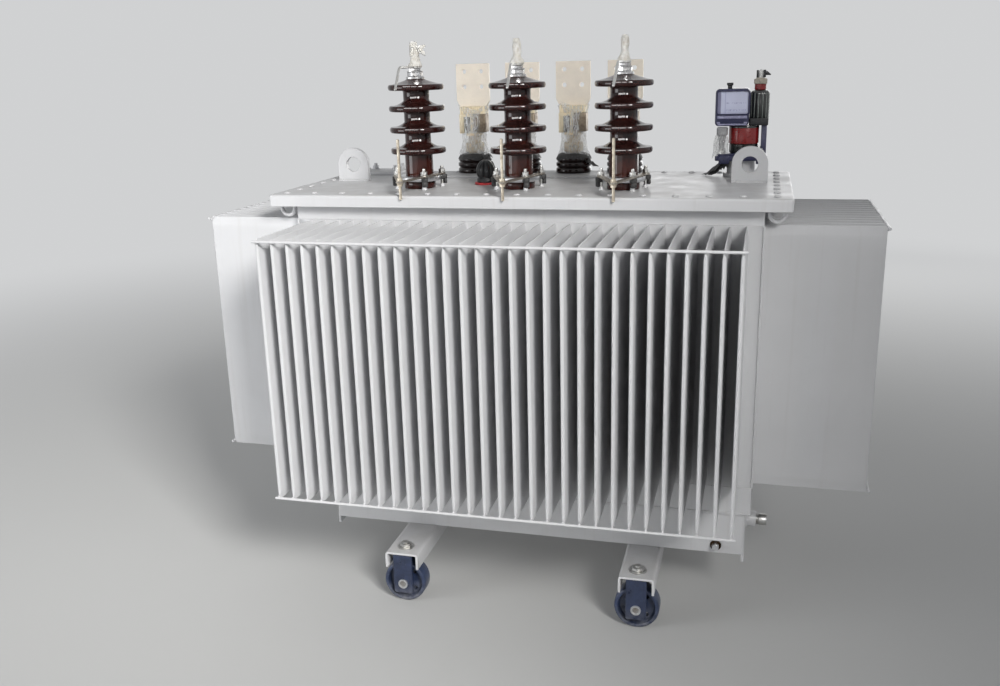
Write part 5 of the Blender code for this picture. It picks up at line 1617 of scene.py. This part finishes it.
wheel_low, wheel_high = measure("wheel_front_left")
w = (wheel_high[1] - wheel_low[1]) / 2
tread = [(0.0515, -w + 0.0005), (0.053, -w), (0.0582, -w), (0.0606, -w + 0.0018), (0.0618, -w + 0.006),
         (0.062, 0), (0.0618, w - 0.006), (0.0606, w - 0.0018), (0.0582, w), (0.053, w),
         (0.0515, w - 0.0005), (0.05, w - 0.004), (0.0482, 0.011), (0.047, 0.009), (0.047, -0.009),
         (0.0482, -0.011), (0.05, -w + 0.004)]
hub = mirrored([(0.0146, -w), (0.0225, -w), (0.0238, -w + 0.0014), (0.0242, -0.013), (0.0262, -0.009)])
wheel = together(lathe(tread, 96, axis="Y", closed=True), lathe(hub, 64, axis="Y", closed=True),
                 disc_with_holes(0.0473, 0.026, 0.037, 4, 0.0065, -0.0088, 0.0088))
bore = lathe(mm((0, 0), (8.8, 0), (8.8, 0.4), (0, 0.4)), 32, axis="Y")
inner, outer = w + SIDE_CLEAR, w + SIDE_CLEAR + STRAP_T
for corner in ("front_left", "front_right", "rear_left", "rear_right"):
    low, high = measure(f"fork_{corner}")
    wheel_low, wheel_high = measure(f"wheel_{corner}")
    centre = (wheel_low + wheel_high) / 2
    x, y = centre[:2]
    bottom, top = low[2], high[2] - 0.006
    outline = soften([(-STRAP_HALF, top), (-STRAP_HALF, bottom), (STRAP_HALF, bottom), (STRAP_HALF, top)],
                     [0.001, 0.006, 0.006, 0.001], steps=6) + [x, 0]
    straps = [plate(outline, *span, "Y", 0.0012) for span in ((y - outer, y - inner), (y + inner, y + outer))]
    bridge = brick((x - STRAP_HALF, y - outer, high[2] - STRAP_T), (x + STRAP_HALF, y + outer, high[2]),
                   0.002, 0.003, "X")
    put(f"fork_strap_{corner}", together(*straps, bridge), navy_fork, stands_for=f"fork_{corner}")
    reach = (high[1] - low[1]) / 2
    sunk = outer + 0.0006
    tube = mirrored([(0, -sunk), (0.009, -sunk), (0.0096, -reach + 0.0006), (0.01, -reach), (0.0136, -reach),
                     (0.0142, -reach + 0.0008)])
    put(f"axle_{corner}", lathe(tube, 40, centre, "Y"), cast_ring)
    put(f"axle_bore_{corner}", copies(bore, [centre - [0, sunk + 0.0004, 0], centre + [0, sunk, 0]]),
        steel_dull)
    put(f"roller_turned_{corner}", wheel, navy, body=f"roller_{corner}", stands_for=f"wheel_{corner}",
        smooth=45, mend=True, at=centre)

# %% Swivel bolts
FORK_Y = 0.427
washer = lathe(mm((0, 0), (24, 0), (24.5, 0.5), (24.5, 3), (23.8, 3.6), (0, 3.6)), 36)
spots = []
for label in ("left", "right"):
    low, high = measure(f"skid_{label}")
    spots += [((low[0] + high[0]) / 2, y, high[2] + 0.0002) for y in (-FORK_Y, FORK_Y)]
put("swivel_washers", copies(washer, spots), zinc_bright)
put("swivel_bolts", copies(bolt((0, 0, 0.0036), 0.031, 0.009, 0.0045), spots), zinc_bright, smooth=35)

# %% [markdown]
# ## Drain and earth
# At the base's right end a drain plug stands out of a welded collar; low on the front is the earth bolt.

# %% Drain plug and earth bolt
low, high = measure("drain_valve")
start = np.array([low[0], *(low + high)[1:] / 2])
collar = lathe(mm((0, 0), (21.5, 0), (22.5, 1), (22.5, 26.2), (21.2, 28), (0, 28)), 48, start, "X")
plug_rows = [(0, 0.028), *threads(0.016, 0.001, 0.028, 0.0012, 8),
             *mm((16.5, 37.5), (16.5, 56), (15, 57.8), (8.5, 58), (8, 54), (0, 53.8))]
weld = lathe(mm((21.5, 0), (26.2, 0), (25, 2.2), (22.8, 4.4), (21.5, 5)), 56, start, "X", closed=True,
             ripple=lambda a: 1 + 0.02 * np.sin(17 * a))
put("drain_collar", collar, paint_clean_and_highlight)
put("drain_plug", lathe(plug_rows, 40, start, "X"), zinc_bright, stands_for="drain_valve")
put("drain_weld", weld, paint_weld, smooth=60)
low, high = measure("earth_stud")
spot = np.array([(low[0] + high[0]) / 2, high[1], (low[2] + high[2]) / 2])
# The washer is painted nearly black: a painted shadow ring round the bolt head.
dark = lathe(mm((0, 0), (15, 0), (15.5, -0.6), (15.5, -2.6), (15, -3.2), (0, -3.2)), 36, spot, "Y")
put("earth_washer_painted_shadow", dark, painted_shade_metal)
put("earth_bolt", bolt(spot - [0, 0.0032, 0], 0.018, -0.0145, axis="Y"), cast_ring, stands_for="earth_stud",
    smooth=35)

# %% Dress the nodes that stay
for name in ("tank", "tank_flange"):
    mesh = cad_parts[name].data
    mesh.materials.clear()
    mesh.materials.append(paint)
